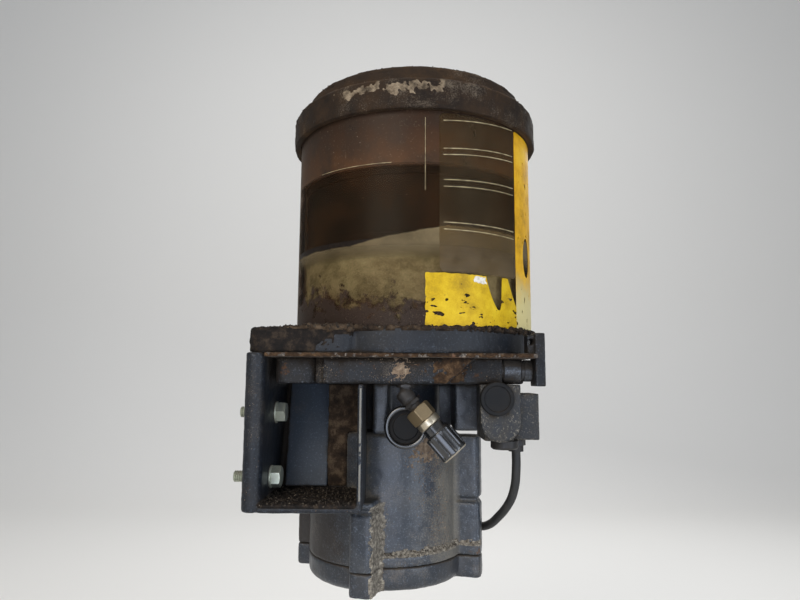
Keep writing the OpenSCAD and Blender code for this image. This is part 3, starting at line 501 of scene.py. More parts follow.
def label_film():
    """Clear vinyl label: a little brown from old glue, more so at its worn foot, and clear elsewhere."""
    material, tree = new_material("clear_vinyl_label")
    place = add(tree, "ShaderNodeTexCoord").outputs["Object"]
    height = add(tree, "ShaderNodeSeparateXYZ", {0: place}).outputs["Z"]
    patches = add(tree, "ShaderNodeTexNoise",
                  {"Vector": place, "Scale": per_m(11), "Detail": 5.0, "Roughness": 0.6}).outputs[0]
    worn = add(tree, "ShaderNodeMapRange",
               {"Value": height, "From Min": 0.155, "From Max": 0.118, "To Min": 0.1,
                "To Max": 0.45}).outputs[0]
    worn = add(tree, "ShaderNodeMath", {0: worn, 1: patches}, operation="MULTIPLY").outputs[0]
    worn = add(tree, "ShaderNodeMath", {0: worn, 1: 1.4}, operation="MULTIPLY", use_clamp=True).outputs[0]
    glue = add(tree, "ShaderNodeBsdfPrincipled",
               {"Base Color": srgb("#6B5C46"), "Roughness": 0.5, "Specular IOR Level": 0.3})
    clear = add(tree, "ShaderNodeBsdfTransparent", {"Color": srgb("#F3EEE2")})
    both = add(tree, "ShaderNodeMixShader", {0: worn, 1: clear.outputs[0], 2: glue.outputs[0]})
    add(tree, "ShaderNodeOutputMaterial", {"Surface": both.outputs[0]})
    return material


tube_plastic = stained_plastic()
clear_label = label_film()
# Lithium grease gone stiff: pale brown with darker runs, greasy sheen
stiff_grease = mottled("lithium_grease", ("#585546", "#8A8675", "#A9A595"), 16, 0.6, stretch=(0.7, 0.7, 1.0),
                       relief=0.3, shine=0.15)
# Rubber-edged follower under a film of grease: nearly black, with brown smears
greasy_rubber = mottled("greasy_rubber", ("#0D0A09", "#130F0E", "#1B1513"), 16, 0.6, stretch=(1, 1, 2.0),
                        shine=0.1)
# Yellow vinyl sticker, faded and scratched, brown where dirt has worked in
yellow_vinyl = mottled("yellow_vinyl", ("#9A7B09", "#BA980C", "#CAAB1E"), 14, 0.5, relief=0.05, grain_mm=0.9,
                       shine=0.2)
# The same vinyl on the upright strip, gone more orange, and bleached at its foot
amber_vinyl = mottled("amber_vinyl", ("#A87D0C", "#CC980E", "#D9AC26"), 14, 0.5, relief=0.05, grain_mm=0.9,
                      shine=0.2, fade=(0.128, 0.096, "#C4B67E"))
# Printed cream rules on the label; the same cream also paints highlights on the follower's lip and on the
# tube
cream_ink_and_highlight = mottled("cream_ink_and_highlight", ("#6E6249", "#978965", "#B3A581"), 5, 0.6)
# Torn white label paper under the vinyl
torn_paper = mottled("torn_paper", ("#9C9482", "#C9C4B8", "#DAD6CC"), 3, 0.9, relief=0.1)
# Road dirt, dry: brown earth with dark and pale grains
dry_dirt = mottled("dry_dirt", ("#1D1611", "#32271D", "#524435"), 7, 0.95, relief=0.6, grain_mm=1.1,
                   shine=0.2)
# Dried mud: pale beige clay
dry_mud = mottled("dried_mud", ("#3E352A", "#685B4A", "#8F806B"), 6, 0.95, relief=0.5, grain_mm=0.9,
                  shine=0.2)
# Oily dirt: nearly black earth, damp with grease; on the seat's shoulder its near-black tone is also painted
# shade
oily_dirt_and_shade = mottled("oily_dirt_and_shade", ("#0D0A08", "#1A1410", "#362C22"), 5, 0.8, relief=0.6, grain_mm=1.0,
                    shine=0.2)
# Splashed mud: small dry pale-brown drops; strewn sparsely on the tube, the same grains are painted glints
splashed_mud_and_glints = mottled("splashed_mud_and_glints", ("#4A3D31", "#6B5A49", "#8B7B67"), 3, 0.95, grain_mm=0.7)
# Loose grit: small stones, dark and grey-brown
loose_grit = mottled("loose_grit", ("#17130F", "#2B2520", "#5F564A"), 2.5, 0.9, grain_mm=0.7, shine=0.2)
# Rust-brown earth
rust_earth = mottled("rust_earth", ("#1F1711", "#38291C", "#57432F"), 5, 0.95, relief=0.4, grain_mm=0.9,
                     shine=0.2)
# Pale sand, dry
pale_sand = mottled("pale_sand", ("#3C362E", "#6B6459", "#9C9484"), 2.5, 0.95, grain_mm=0.7)


# Shape helpers: places and sizes are in millimetres, and become metres in the mesh
def shaped(piece):
    """Swaps a piece's mesh for the one that its modifiers give."""
    depsgraph = bpy.context.evaluated_depsgraph_get()
    piece.data = bpy.data.meshes.new_from_object(piece.evaluated_get(depsgraph))
    piece.modifiers.clear()
    return piece


def from_edit(name, edit, mesh=None):
    """An object from an edited mesh."""
    mesh = mesh or bpy.data.meshes.new(name)
    edit.to_mesh(mesh)
    edit.free()
    return scene_object(name, mesh)


def thicken(piece, thick):
    """Makes a sheet of faces thick, on the side that they look away from."""
    solid = piece.modifiers.new("thickness", "SOLIDIFY")
    solid.thickness = thick * MM
    solid.offset = -1
    return shaped(piece)


def belong(piece, material, finish_slot, body="frame", replaces=None):
    """A piece of the object takes its finish and the body that it rides on; its slot is not used."""
    piece.data.materials.clear()
    piece.data.materials.append(material)
    if body:
        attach(piece, body)
    if replaces:
        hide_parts(replaces)
    return piece


def new_piece(name, points, faces, material, finish_slot, sharp=40, thick=0, **settings):
    """A closed piece from points, smooth up to edges of a sharp angle; a sheet of faces is made thick."""
    mesh = bpy.data.meshes.new(name)
    mesh.from_pydata([Vector(p) * MM for p in points], [], faces)
    edit = bmesh.new()
    edit.from_mesh(mesh)
    bmesh.ops.remove_doubles(edit, verts=edit.verts, dist=1e-7)
    if not thick:
        bmesh.ops.recalc_face_normals(edit, faces=edit.faces)
    piece = from_edit(name, edit, mesh)
    if thick:
        thicken(piece, thick)
    piece.data.shade_smooth()
    piece.data.set_sharp_from_angle(angle=math.radians(sharp))
    return belong(piece, material, finish_slot, **settings)


def rounded(corners, steps=5):
    """A closed outline of (across, up) points from (across, up, corner radius) corners."""
    outline = []
    for i, (x, z, radius) in enumerate(corners):
        here = Vector((x, z))
        if not radius:
            outline.append((x, z))
            continue
        back = Vector(corners[i - 1][:2]) - here
        onward = Vector(corners[(i + 1) % len(corners)][:2]) - here
        half = back.angle(onward) / 2
        reach = min(radius / math.tan(half), back.length * 0.49, onward.length * 0.49)
        radius = reach * math.tan(half)
        start, end = here + back.normalized() * reach, here + onward.normalized() * reach
        middle = here + (back.normalized() + onward.normalized()).normalized() * radius / math.sin(half)
        for k in range(steps + 1):
            toward = (start - middle).lerp(end - middle, k / steps)
            outline.append(tuple(middle + toward.normalized() * radius))
    return outline


def divided(outline, parts):
    """A closed outline with each side cut into as many parts as parts(start, end) says."""
    fine = []
    for i, (r, z) in enumerate(outline):
        q, w = outline[(i + 1) % len(outline)]
        count = parts((r, z), (q, w))
        fine += [(r + (q - r) * k / count, z + (w - z) * k / count) for k in range(count)]
    return fine


def lathe(name, profile, material, finish_slot, place=(0, 0, 0), axis=(0, 0, 1), steps=96, form=None,
          **settings):
    """A turned piece from (radius, height) points, closed on its axis where the radius is 0.

    form changes each turned point in the piece's own frame, before it goes to its place.
    """
    turned = Vector(axis).to_track_quat("Z", "Y").to_matrix()
    points, first, faces = [], [], []
    for r, z in profile:
        first.append(len(points))
        for k in range(steps if r else 1):
            turn = 2 * math.pi * k / steps
            local = Vector((r * math.cos(turn), r * math.sin(turn), z))
            points.append(Vector(place) + turned @ (form(local) if form else local))
    for i, (r, z) in enumerate(profile):
        j = (i + 1) % len(profile)
        a, b = first[i], first[j]
        for k in range(steps):
            n = (k + 1) % steps
            if r and profile[j][0]:
                faces.append((a + k, b + k, b + n, a + n))
            elif r:
                faces.append((a + k, b, a + n))
            elif profile[j][0]:
                faces.append((a, b + k, b + n))
    return new_piece(name, points, faces, material, finish_slot, **settings)


def hexagon(name, af, low, high, material, finish_slot, turn=0, flat_foot=False, **settings):
    """A hexagon nut or head along its axis from low to high, its corners cut back by cones at its ends."""
    corner, inner, cone = af / 2 / math.cos(math.pi / 6), af * 0.475, math.tan(math.radians(30))
    drop = (corner - inner) * cone

    def flats(p):
        angle = (math.atan2(p.y, p.x) - turn) % (math.pi / 3) - math.pi / 6
        limit = af / 2 / math.cos(angle)
        r = math.hypot(p.x, p.y)
        scale = min(1, limit / r) if r else 1
        return Vector((p.x * scale, p.y * scale, p.z))

    def cut(end, inward):
        return [(inner + (corner - inner) * k / 4, end + inward * drop * k / 4) for k in range(5)]

    foot = [(corner, low)] if flat_foot else cut(low, 1)
    profile = [(0, low), *foot, *reversed(cut(high, -1)), (0, high)]
    return lathe(name, profile, material, finish_slot, steps=120, form=flats, sharp=25, **settings)


def hose(name, path, radius, material, finish_slot, **settings):
    """A round hose along a smooth path through points, closed at its ends."""
    sides, steps = 20, 6
    ends = [2 * Vector(path[0]) - Vector(path[1]), *map(Vector, path),
            2 * Vector(path[-1]) - Vector(path[-2])]
    line = []
    for i in range(1, len(ends) - 2):
        p0, p1, p2, p3 = ends[i - 1 : i + 3]
        for k in range(steps):
            t = k / steps
            line.append(0.5 * (2 * p1 + (p2 - p0) * t + (2 * p0 - 5 * p1 + 4 * p2 - p3) * t * t
                               + (3 * p1 - p0 - 3 * p2 + p3) * t ** 3))
    line.append(ends[-2])
    points, faces = [], []
    across = Vector((1, 0, 0))
    for i, here in enumerate(line):
        along = (line[min(i + 1, len(line) - 1)] - line[max(i - 1, 0)]).normalized()
        across = (across - along * across.dot(along)).normalized()
        other = along.cross(across)
        for k in range(sides):
            turn = 2 * math.pi * k / sides
            points.append(here + (across * math.cos(turn) + other * math.sin(turn)) * radius)
        if i:
            a, b = (i - 1) * sides, i * sides
            faces += [(a + k, a + (k + 1) % sides, b + (k + 1) % sides, b + k) for k in range(sides)]
    faces += [tuple(range(sides)), tuple(range(len(points) - sides, len(points)))]
    return new_piece(name, points, faces, material, finish_slot, **settings)


def rough(place, size_mm, seed=0):
    """Smooth noise from about -1 to 1 at a place."""
    return noise.fractal(Vector(place) / size_mm + Vector((seed, -seed, seed)) * 7.3, 0.6, 2.0, 3)


def cast(node, material, finish_slot="housing_paint", voxel=1.3, relax=3, grain=0.15, grain_mm=6):
    """A casting's skin in place of a CAD node: its edges are rounded and its faces slightly uneven."""
    name, source = node + "_casting", nodes[node]
    mesh = source.data.copy()
    mesh.name = name
    mesh.transform(source.matrix_world)
    edit = bmesh.new()
    edit.from_mesh(mesh)
    bmesh.ops.remove_doubles(edit, verts=edit.verts, dist=2e-6)
    piece = from_edit(name, edit, mesh)
    skin = piece.modifiers.new("skin", "REMESH")
    skin.mode = "VOXEL"
    skin.voxel_size = voxel * MM
    soften = piece.modifiers.new("soften", "SMOOTH")
    soften.factor = 0.5
    soften.iterations = relax
    mesh = shaped(piece).data
    normals = [v.normal.copy() for v in mesh.vertices]
    for v, facing in zip(mesh.vertices, normals):
        v.co += facing * rough(v.co / MM, grain_mm) * grain * MM
    mesh.shade_smooth()
    return belong(piece, material, finish_slot, replaces=node)


def crust(name, host, level, depth, material, lump_mm=5, seed=0, cuts=0, finish_slot="frame_steel",
          body="frame"):
    """Dirt on a host, where level(place, facing) is above 0, uneven and thin at its borders.

    At level 1 it has its full depth. cuts divides the host's edges first, for a finer crust.
    """
    def measure():
        edit.normal_update()
        amounts = {}
        for v in edit.verts:
            amounts[v] = min(1.0, level(v.co / MM, v.normal) + 0.35 * rough(v.co / MM, lump_mm, seed))
        return amounts

    edit = bmesh.new()
    edit.from_mesh(host.data)
    if cuts:
        amount = measure()
        far = [f for f in edit.faces if max(amount[v] for v in f.verts) < -0.4]
        bmesh.ops.delete(edit, geom=far, context="FACES")
        bmesh.ops.subdivide_edges(edit, edges=edit.edges, cuts=cuts, use_grid_fill=True)
    amount = measure()
    bare = [f for f in edit.faces if max(amount[v] for v in f.verts) <= 0]
    moves = {v: (amount[v], v.normal.copy(), rough(v.co / MM, lump_mm * 0.6, seed + 3)) for v in edit.verts}
    for v, (much, facing, lump) in moves.items():
        rise = depth * math.sqrt(much) * (0.75 + 0.45 * lump) if much > 0 else -0.35
        v.co += facing * rise * MM
    bmesh.ops.delete(edit, geom=bare, context="FACES")
    piece = thicken(from_edit(name, edit), 0.8)
    piece.data.shade_smooth()
    return belong(piece, material, finish_slot, body=body)


def grain_group():
    """Geometry nodes that strew small angular stones over the faces of a mesh, and keep only the stones."""
    group = bpy.data.node_groups.new("strewn_grains", "GeometryNodeTree")
    inputs = {}
    for label, kind in (("Faces", "Geometry"), ("Per Square Metre", "Float"), ("Smallest", "Float"),
                        ("Largest", "Float"), ("Seed", "Int"), ("Finish", "Material")):
        socket = group.interface.new_socket(label, in_out="INPUT", socket_type="NodeSocket" + kind)
        inputs[label] = socket.identifier
    group.interface.new_socket("Grains", in_out="OUTPUT", socket_type="NodeSocketGeometry")
    given = add(group, "NodeGroupInput").outputs
    seed = given["Seed"]
    spots = add(group, "GeometryNodeDistributePointsOnFaces",
                {"Mesh": given["Faces"], "Density": given["Per Square Metre"], "Seed": seed})
    stone = add(group, "GeometryNodeMeshIcoSphere", {"Radius": 1.0, "Subdivisions": 1})
    least, most = (add(group, "ShaderNodeCombineXYZ", {axis: given[label] for axis in "XYZ"}).outputs[0]
                   for label in ("Smallest", "Largest"))
    size = add(group, "FunctionNodeRandomValue", {"Seed": seed, "Min": least, "Max": most},
               data_type="FLOAT_VECTOR")
    turn = add(group, "FunctionNodeRandomValue", {"Seed": seed, "Max": (6.28, 6.28, 6.28)},
               data_type="FLOAT_VECTOR")
    stones = add(group, "GeometryNodeInstanceOnPoints",
                 {"Points": spots.outputs["Points"], "Instance": stone.outputs["Mesh"],
                  "Rotation": turn.outputs["Value"], "Scale": size.outputs["Value"]})
    real = add(group, "GeometryNodeRealizeInstances", {"Geometry": stones.outputs[0]})
    done = add(group, "GeometryNodeSetMaterial", {"Geometry": real.outputs[0], "Material": given["Finish"]})
    add(group, "NodeGroupOutput", {0: done.outputs[0]})
    return group, inputs


grains, grain_inputs = grain_group()


def strew(name, host, where, per_cm2, smallest, largest, seed, material=loose_grit, body="frame"):
    """Grains of a size, in millimetres, on the faces of a host where where(place, facing) is true."""
    edit = bmesh.new()
    edit.from_mesh(host.data)
    spare = [f for f in edit.faces if not where(f.calc_center_median() / MM, f.normal)]
    bmesh.ops.delete(edit, geom=spare, context="FACES")
    piece = from_edit(name, edit)
    strewn = piece.modifiers.new("grains", "NODES")
    strewn.node_group = grains
    for label, value in (("Per Square Metre", per_cm2 * 1e4), ("Smallest", smallest / 2 * MM),
                         ("Largest", largest / 2 * MM), ("Seed", seed), ("Finish", material)):
        strewn[grain_inputs[label]] = value
    return belong(shaped(piece), material, "frame_steel", body=body)


def on_tube(turn, z, out):
    """A point on the clear tube, turned in degrees from the front towards +X, standing out from its skin."""
    angle = math.radians(turn)
    return (AXIS[0] + (TUBE_R + out) * math.sin(angle), AXIS[1] - (TUBE_R + out) * math.cos(angle), z)


def film(name, keep, turns, heights, step, material, finish_slot="grease", out=0.3, thick=0.25):
    """A thin sheet on the tube where keep(turn, z) is above 0, its border cut through the grid's squares."""
    columns = max(2, round((turns[1] - turns[0]) / step[0]))
    rows = max(2, round((heights[1] - heights[0]) / step[1]))
    grid = [[(turns[0] + (turns[1] - turns[0]) * i / columns,
              heights[0] + (heights[1] - heights[0]) * j / rows)
             for j in range(rows + 1)] for i in range(columns + 1)]
    value = [[keep(*spot) for spot in column] for column in grid]
    points, faces = [], []
    for i in range(columns):
        for j in range(rows):
            ring = [(i, j), (i + 1, j), (i + 1, j + 1), (i, j + 1)]
            corners = []
            for k, (a, b) in enumerate(ring):
                c, d = ring[(k + 1) % 4]
                here, there = value[a][b], value[c][d]
                if here > 0:
                    corners.append(grid[a][b])
                if (here > 0) != (there > 0):
                    share = here / (here - there)
                    corners.append([p + (q - p) * share for p, q in zip(grid[a][b], grid[c][d])])
            if len(corners) > 2:
                faces.append(tuple(range(len(points), len(points) + len(corners))))
                points += [on_tube(turn, z, out) for turn, z in corners]
    return new_piece(name, points, faces, material, finish_slot, thick=thick)


# CAD nodes that show as they are
for name, material in (("side_plug", enamel), ("cover_screws", grimy_steel), ("hose_fitting", grimy_steel)):
    nodes[name].data.materials.clear()
    nodes[name].data.materials.append(material)

# Castings and plates in place of the CAD nodes, edges rounded
bracket = cast("side_bracket", clean_enamel)
block = cast("pump_block", muddy_shaded_enamel, voxel=1.5)
cast("end_block", muddy_shaded_enamel, voxel=1.1)
cast("neck_casting", enamel, voxel=1.5)
housing = cast("motor_housing", dusty_enamel)
cover = cast("end_cover", enamel, voxel=1.4)
seat = cast("reservoir_base", clean_enamel, voxel=1.5, grain=0.1)
cast("valve_body", filmed_enamel, voxel=0.9)
cast("right_lug", muddy_shaded_enamel, "frame_steel", voxel=0.8, relax=2, grain=0.1, grain_mm=3)
# The pocket panel takes the enamel whose lighter base is painted light
cast("pocket_panel", pocket_enamel_painted_light, voxel=0.9, relax=4, grain=0.05)
plate = cast("top_plate", rusty_steel, "frame_steel", voxel=1.1, relax=2, grain=0.25, grain_mm=4)


def reservoir():
    """The clear tube, and the follower and the grease that show through it."""
    wall = [(TUBE_R, TUBE_Z), (TUBE_R, TUBE_TOP), (BORE_R, TUBE_TOP), (BORE_R, TUBE_Z)]
    tube = lathe("clear_tube", wall, tube_plastic, "clear_tube", place=ON_AXIS, steps=192,
                 replaces="reservoir_tube")

    lip, body, inner = SLIDER_R, SLIDER_R - 1.5, SLIDER_R - 6.5
    floor, hub, hub_top = FOLLOWER_Z + 5, 14, FOLLOWER_Z + 32
    cup = [(0, FOLLOWER_Z), (lip, FOLLOWER_Z), (lip, FOLLOWER_Z + 6), (body, FOLLOWER_Z + 6.5),
           (body, FOLLOWER_TOP - 6.5), (lip, FOLLOWER_TOP - 6), (lip, FOLLOWER_TOP), (inner, FOLLOWER_TOP),
           (inner, floor), (hub, floor), (hub, hub_top), (0, hub_top)]
    lathe("follower", cup, greasy_rubber, "follower_rubber", place=ON_AXIS, steps=128, body="follower",
          replaces="follower_plate")

    foot, top, rings = TUBE_Z + 0.2, FOLLOWER_Z - 0.1, 12
    heap = [(SLIDER_R, foot + (top - foot) * k / rings) for k in range(rings + 1)]
    grease = lathe("grease_fill", [(0, foot), *heap, (0, top)], stiff_grease, "grease", place=ON_AXIS,
                   steps=128, body=None, replaces="grease")
    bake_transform(grease)
    return tube


tube = reservoir()


def lid():
    """The stepped lid, slightly uneven, with its vent plug."""
    ledge, ring_in = TUBE_TOP + 4.5, LID_R - 4.7
    edge = CROWN_R - 3.8
    outline = rounded([
        (13.2, LID_TOP, 0), (edge, LID_TOP, 5.5), (CROWN_R, ledge, 1.2), (LID_R, ledge, 7),
        (LID_R, LID_RING_Z, 0.8), (ring_in, LID_RING_Z, 0.8), (ring_in, TUBE_TOP, 0),
        (SLIDER_R, TUBE_TOP, 0), (SLIDER_R, TUBE_TOP - 5, 0), (SLIDER_R - 3, TUBE_TOP - 5, 0),
        (SLIDER_R - 3, LID_TOP - 4, 0), (16.2, LID_TOP - 4, 0), (16.2, TUBE_TOP, 0), (13.2, TUBE_TOP, 0)],
        steps=6)
    # Extra rings on the long faces, so that they can be uneven
    fine = divided(outline, lambda start, end: max(1, round(math.dist(start, end) / 3)))

    def uneven(p):
        out = Vector((p.x, p.y, 0)).normalized()
        wobble = rough(p, 9) * 0.22 + rough(p, 28, 5) * 0.25
        outer = math.hypot(p.x, p.y) > SLIDER_R - 4 and p.z > LID_RING_Z
        rise = wobble * 0.6 if p.z > LID_TOP - 1 else 0
        return p + out * (wobble if outer else 0) + Vector((0, 0, rise))

    on_lid = {"material": lid_plastic, "finish_slot": "lid_plastic", "place": ON_AXIS, "body": "cover"}
    top = lathe("lid_moulding", fine, steps=216, form=uneven, replaces="lid", **on_lid)
    plug = rounded([(0, TUBE_TOP, 0), (13, TUBE_TOP, 0), (13, LID_TOP, 0), (16, LID_TOP, 0.4),
                    (16, LID_TOP + 3, 0.8), (0, LID_TOP + 3, 0)], steps=4)
    lathe("vent_plug", plug, replaces="lid_vent", **on_lid)
    hexagon("vent_hexagon", 18.2, LID_TOP + 2.5, LID_TOP + 9, flat_foot=True, **on_lid)
    return top


lid_top = lid()


def bolts():
    """Two hexagon bolts with washers, each turned a little, their threaded ends out of the mounting face."""
    lean, half_pitch, across_flats = math.radians(16), 22.5, 13
    wall, head, top, end = 13, 14.4, 20.9, -12
    first, pitch, turns, core, crest = -10.9, 1.25, 9, 3.45, 3.98
    for name, side in (("upper", 1), ("lower", -1)):
        at = (0, side * half_pitch * math.sin(lean), side * half_pitch * math.cos(lean))
        here = {"material": dull_zinc, "finish_slot": "zinc_bolts", "place": at, "axis": (1, 0, 0)}
        hexagon(name + "_bolt_head", across_flats, head, top, turn=math.radians(14 - 20 * side),
                flat_foot=True, replaces="mounting_bolts" if side > 0 else None, **here)
        washer = rounded([(4.5, wall, 0), (7.8, wall, 0.3), (7.8, head, 0.4), (4.5, head, 0)], steps=3)
        lathe(name + "_washer", washer, **here)
        thread = [(0, end), (3.2, end), (3.9, end + 0.7)]
        for k in range(turns):
            thread += [(core, first + pitch * k), (crest, first + 0.6 + pitch * k)]
        lathe(name + "_bolt_shank", thread + [(4, head + 0.2), (0, head + 0.2)], steps=40, sharp=70, **here)


bolts()


def filler():
    """The grease filler, from its elbow under the block down to its ribbed dust cap."""
    along = {"place": ROOT, "axis": NIPPLE}
    steel = {"material": grimy_steel, "finish_slot": "dark_steel"}
    elbow = rounded([(0, -4.5, 0), (5.7, -4.5, 4), (5.7, 3.5, 2), (4.5, 5, 0), (4.5, 11, 0), (0, 11, 0)],
                    steps=5)
    lathe("elbow", elbow, steps=48, replaces="filler_elbow", **steel, **along)
    stem = [(0, 0), (4, 0), (4, BLOCK_Z + 0.3 - ROOT[2]), (0, BLOCK_Z + 0.3 - ROOT[2])]
    lathe("elbow_stem", stem, steps=40, place=ROOT, **steel)
    hexagon("stem_hexagon", 11, BLOCK_Z - 2.6, BLOCK_Z - 0.05, place=(ROOT[0], ROOT[1], 0), **steel)
    hexagon("lock_nut", 11, 5.5, 8, **steel, **along)
    hexagon("filler_hexagon", 16, 10.7, 20.9, straw_zinc, "brass_fitting", turn=math.radians(8),
            replaces="filler_nut", **along)
    ring = rounded([(4.5, 20.9, 0), (8.15, 20.9, 0.7), (8.15, 25.9, 0.9), (6.6, 25.9, 0), (6.2, 25.2, 0),
                    (4.5, 25.2, 0)], steps=4)
    lathe("bright_ring", ring, bright_zinc, "dark_steel", replaces="filler_ring", **along)
    tip = rounded([(0, 20.9, 0), (4.5, 20.9, 0), (4.5, 36, 0), (3.1, 37.2, 0), (3.1, 38.2, 0), (3.6, 39, 0),
                   (2.6, 39.8, 0), (0, 39.9, 0)])
    lathe("nipple_tip", tip, dull_zinc, "dark_steel", steps=40, **along)

    foot, low, top, ribs = 26.2, 31.8, 50.2, 12
    rib_foot, rib_top = low + 1, top - 1.6

    def ribbed(p):
        if not rib_foot < p.z < rib_top or math.hypot(p.x, p.y) < 8:
            return p
        angle = (math.atan2(p.y, p.x) * ribs / (2 * math.pi)) % 1 - 0.5
        dent = max(0, 1 - (abs(angle) / 0.17) ** 2)
        ends = min(1, (p.z - rib_foot) / 1.2, (rib_top - p.z) / 1.2)
        scale = 1 - 0.085 * dent * ends
        return Vector((p.x * scale, p.y * scale, p.z))

    def rings(start, end):
        """One part for each millimetre of the ribbed skin, so that its grooves can end round."""
        return max(1, round(abs(end[1] - start[1]))) if min(start[0], end[0]) > 9 else 1

    skin = rounded([(9.7, low, 0.9), (9.7, top, 1.6), (0, top, 0), (0, 44.5, 0), (4.9, 43.2, 0),
                    (4.9, foot, 0), (7.5, foot, 0.5), (7.5, low, 0.3)], steps=4)
    lathe("ribbed_cap", divided(skin, rings), black_nylon, "black_plastic", steps=144, form=ribbed, sharp=50,
          body="cap", replaces="dust_cap", **along)
    scuff = rounded([(6.4, top - 0.3, 0), (9.1, top - 1.2, 0), (9.62, top - 1.3, 0), (9.2, top + 0.02, 0.5),
                     (6.4, top + 0.06, 0)], steps=3)
    lathe("scuffed_cap_end", scuff, scuffed_nylon, "black_plastic", body="cap",
          form=lambda p: p + Vector((0, 0, 0.12 * rough(p, 2))), **along)


filler()


def port():
    """The round port: a rolled rim round a shallow dish."""
    here = {"place": (106.5, -12.6, 12.7), "axis": (0, 1, 0)}
    outer, roll, floor, back = 15, 1.8, 11.4, 6
    rim = [(outer - roll + roll * math.cos(a), roll - roll * math.sin(a))
           for a in (math.pi * k / 8 for k in range(-2, 11))]
    lathe("port_rim", [(outer, back), *rim, (floor, 2.7), (floor, back)], black_nylon, "black_plastic",
          steps=72, sharp=60, replaces="filler_port", **here)
    dish = rounded([(0, 3.4, 0), (8.6, 3.0, 0.6), (9.2, 3.8, 0.4), (11.6, 3.8, 0), (11.6, back, 0),
                    (0, back, 0)], steps=4)
    lathe("port_dish", dish, dull_nylon, "black_plastic", steps=72, **here)
    lathe("port_stem", [(0, 5), (8, 5), (8, 45), (0, 45)], enamel, "housing_paint", steps=48, **here)


port()


def valve_parts():
    """Round cap with a rolled edge at the front of the valve, fitting at its foot, and the jumper hose."""
    face = rounded([(0, 0.9, 0), (8.2, 0.9, 0.6), (8.9, 0.1, 0.5), (11.35, 0.1, 0.9), (11.35, 5, 0),
                    (0, 5, 0)], steps=4)
    lathe("valve_disc", face, dull_nylon, "black_plastic", place=(167.4, -30.6, 33), axis=(0, 1, 0),
          steps=72, replaces="valve_cap")
    foot = rounded([(0, -1.9, 0), (8.2, -1.9, 0.6), (9.5, -0.6, 0.4), (9.5, 4, 0), (0, 4, 0)], steps=4)
    lathe("valve_plug", foot, grimy_steel, "dark_steel", place=(175, -8.6, 0), steps=64,
          replaces="valve_foot")
    hose("hose_run", HOSE_PATH, HOSE_R, hose_rubber, "hose_rubber", replaces="jumper_hose")


valve_parts()


# Dirt: each function of (p, facing) says how deep it lies at a place, or whether grains lie there
def from_axis(p):
    """Distance from the reservoir's axis."""
    return math.hypot(p.x - AXIS[0], p.y - AXIS[1])


def turn_of(p, middle=AXIS):
    """Degrees round an upright axis, from the front towards +X."""
    return math.degrees(math.atan2(p.x - middle[0], middle[1] - p.y))


def round_motor(p):
    """The turn round the motor's axis."""
    return turn_of(p, MOTOR)


def reservoir_dirt():
    """Heaps of earth on the seat, dark earth on its shoulder that is partly painted shade, and clods along
    the foot of the tube.
    """
    def seat_heap(p, facing):
        if facing.z < 0.2 or p.z < 74 or from_axis(p) < TUBE_R - 0.5:
            return -1
        near = 1 - max(0, from_axis(p) - TUBE_R) / 26
        more = 0.35 if turn_of(p) > 30 else 0.0
        return near + 0.3 + more if p.x < 84 else near * 0.5 + more - 0.15

    def shoulder_earth_and_shade(p, facing):
        """The shoulder's front and side, buried under earth at the left; its near-black crust is partly
        painted shade.
        """
        if p.z > 79 or p.y > 10 or facing.z < -0.4:
            return -1
        return 0.7 - max(0, p.x - 20) / 45 + (p.z - 66) / 30

    mound = crust("seat_dirt", seat, seat_heap, 4.2, dry_dirt, lump_mm=6)
    # Near-black earth on the shoulder, its darkness partly painted shade
    crust("shoulder_earth_and_shade", seat, shoulder_earth_and_shade, 1.5, oily_dirt_and_shade, seed=21)
    strew("seat_grit", mound, lambda p, n: n.z > 0.2 and p.y < 60, 9, 0.5, 2.4, 3)
    strew("foot_clods", mound, lambda p, n: n.z > 0.2 and 22 < turn_of(p) < 88, 12, 1.2, 4.2, 23, oily_dirt_and_shade)
    # A few small pale grains on the tube's outside are painted glints
    strew("tube_glint_specks", tube, lambda p, n: p.z > 80.5 and from_axis(p) > 91, 0.12, 0.3, 0.8, 27,
          splashed_mud_and_glints)


def lid_dirt():
    """Two smears of mud on the lid's ring, dust on its crown, and earth on its ledge."""
    def smears(p, facing):
        where = turn_of(p)
        line = 245 + 0.05 * where + 2.5 * rough((where, 0, 0), 9, 3)
        band = 0.55 - abs(p.z - line) / 5
        patch = min(1 - abs(where + 13) / 19, abs(where + 15) / 5 - 0.3)
        return min(band, patch) + 0.8 * rough(p, 8, 8) if facing.z < 0.97 and patch > -0.3 else -1

    def dust(p, facing):
        edge = p.z > LID_TOP - 7 and from_axis(p) > CROWN_R - 14
        return -0.05 + 0.75 * rough(p, 14, 2) if edge or p.z < TUBE_TOP + 3 and facing.z > -0.2 else -1

    def ledge(p, facing):
        return 0.35 - abs(from_axis(p) - 93) / 4 if TUBE_TOP + 2 < p.z < LID_TOP - 6 else -1

    crust("lid_mud", lid_top, smears, 0.8, dry_mud, seed=6, cuts=3, body="cover")
    crust("crown_dust", lid_top, dust, 0.7, lid_plastic, lump_mm=4, seed=39, finish_slot="lid_plastic",
          body="cover")
    crust("lid_ledge_dirt", lid_top, ledge, 1.8, dry_dirt, lump_mm=7, seed=12, body="cover")
    strew("lid_grit", lid_top, lambda p, n: n.z > 0.55 and p.z > 245, 1.3, 0.4, 1.8, 9, body="cover")


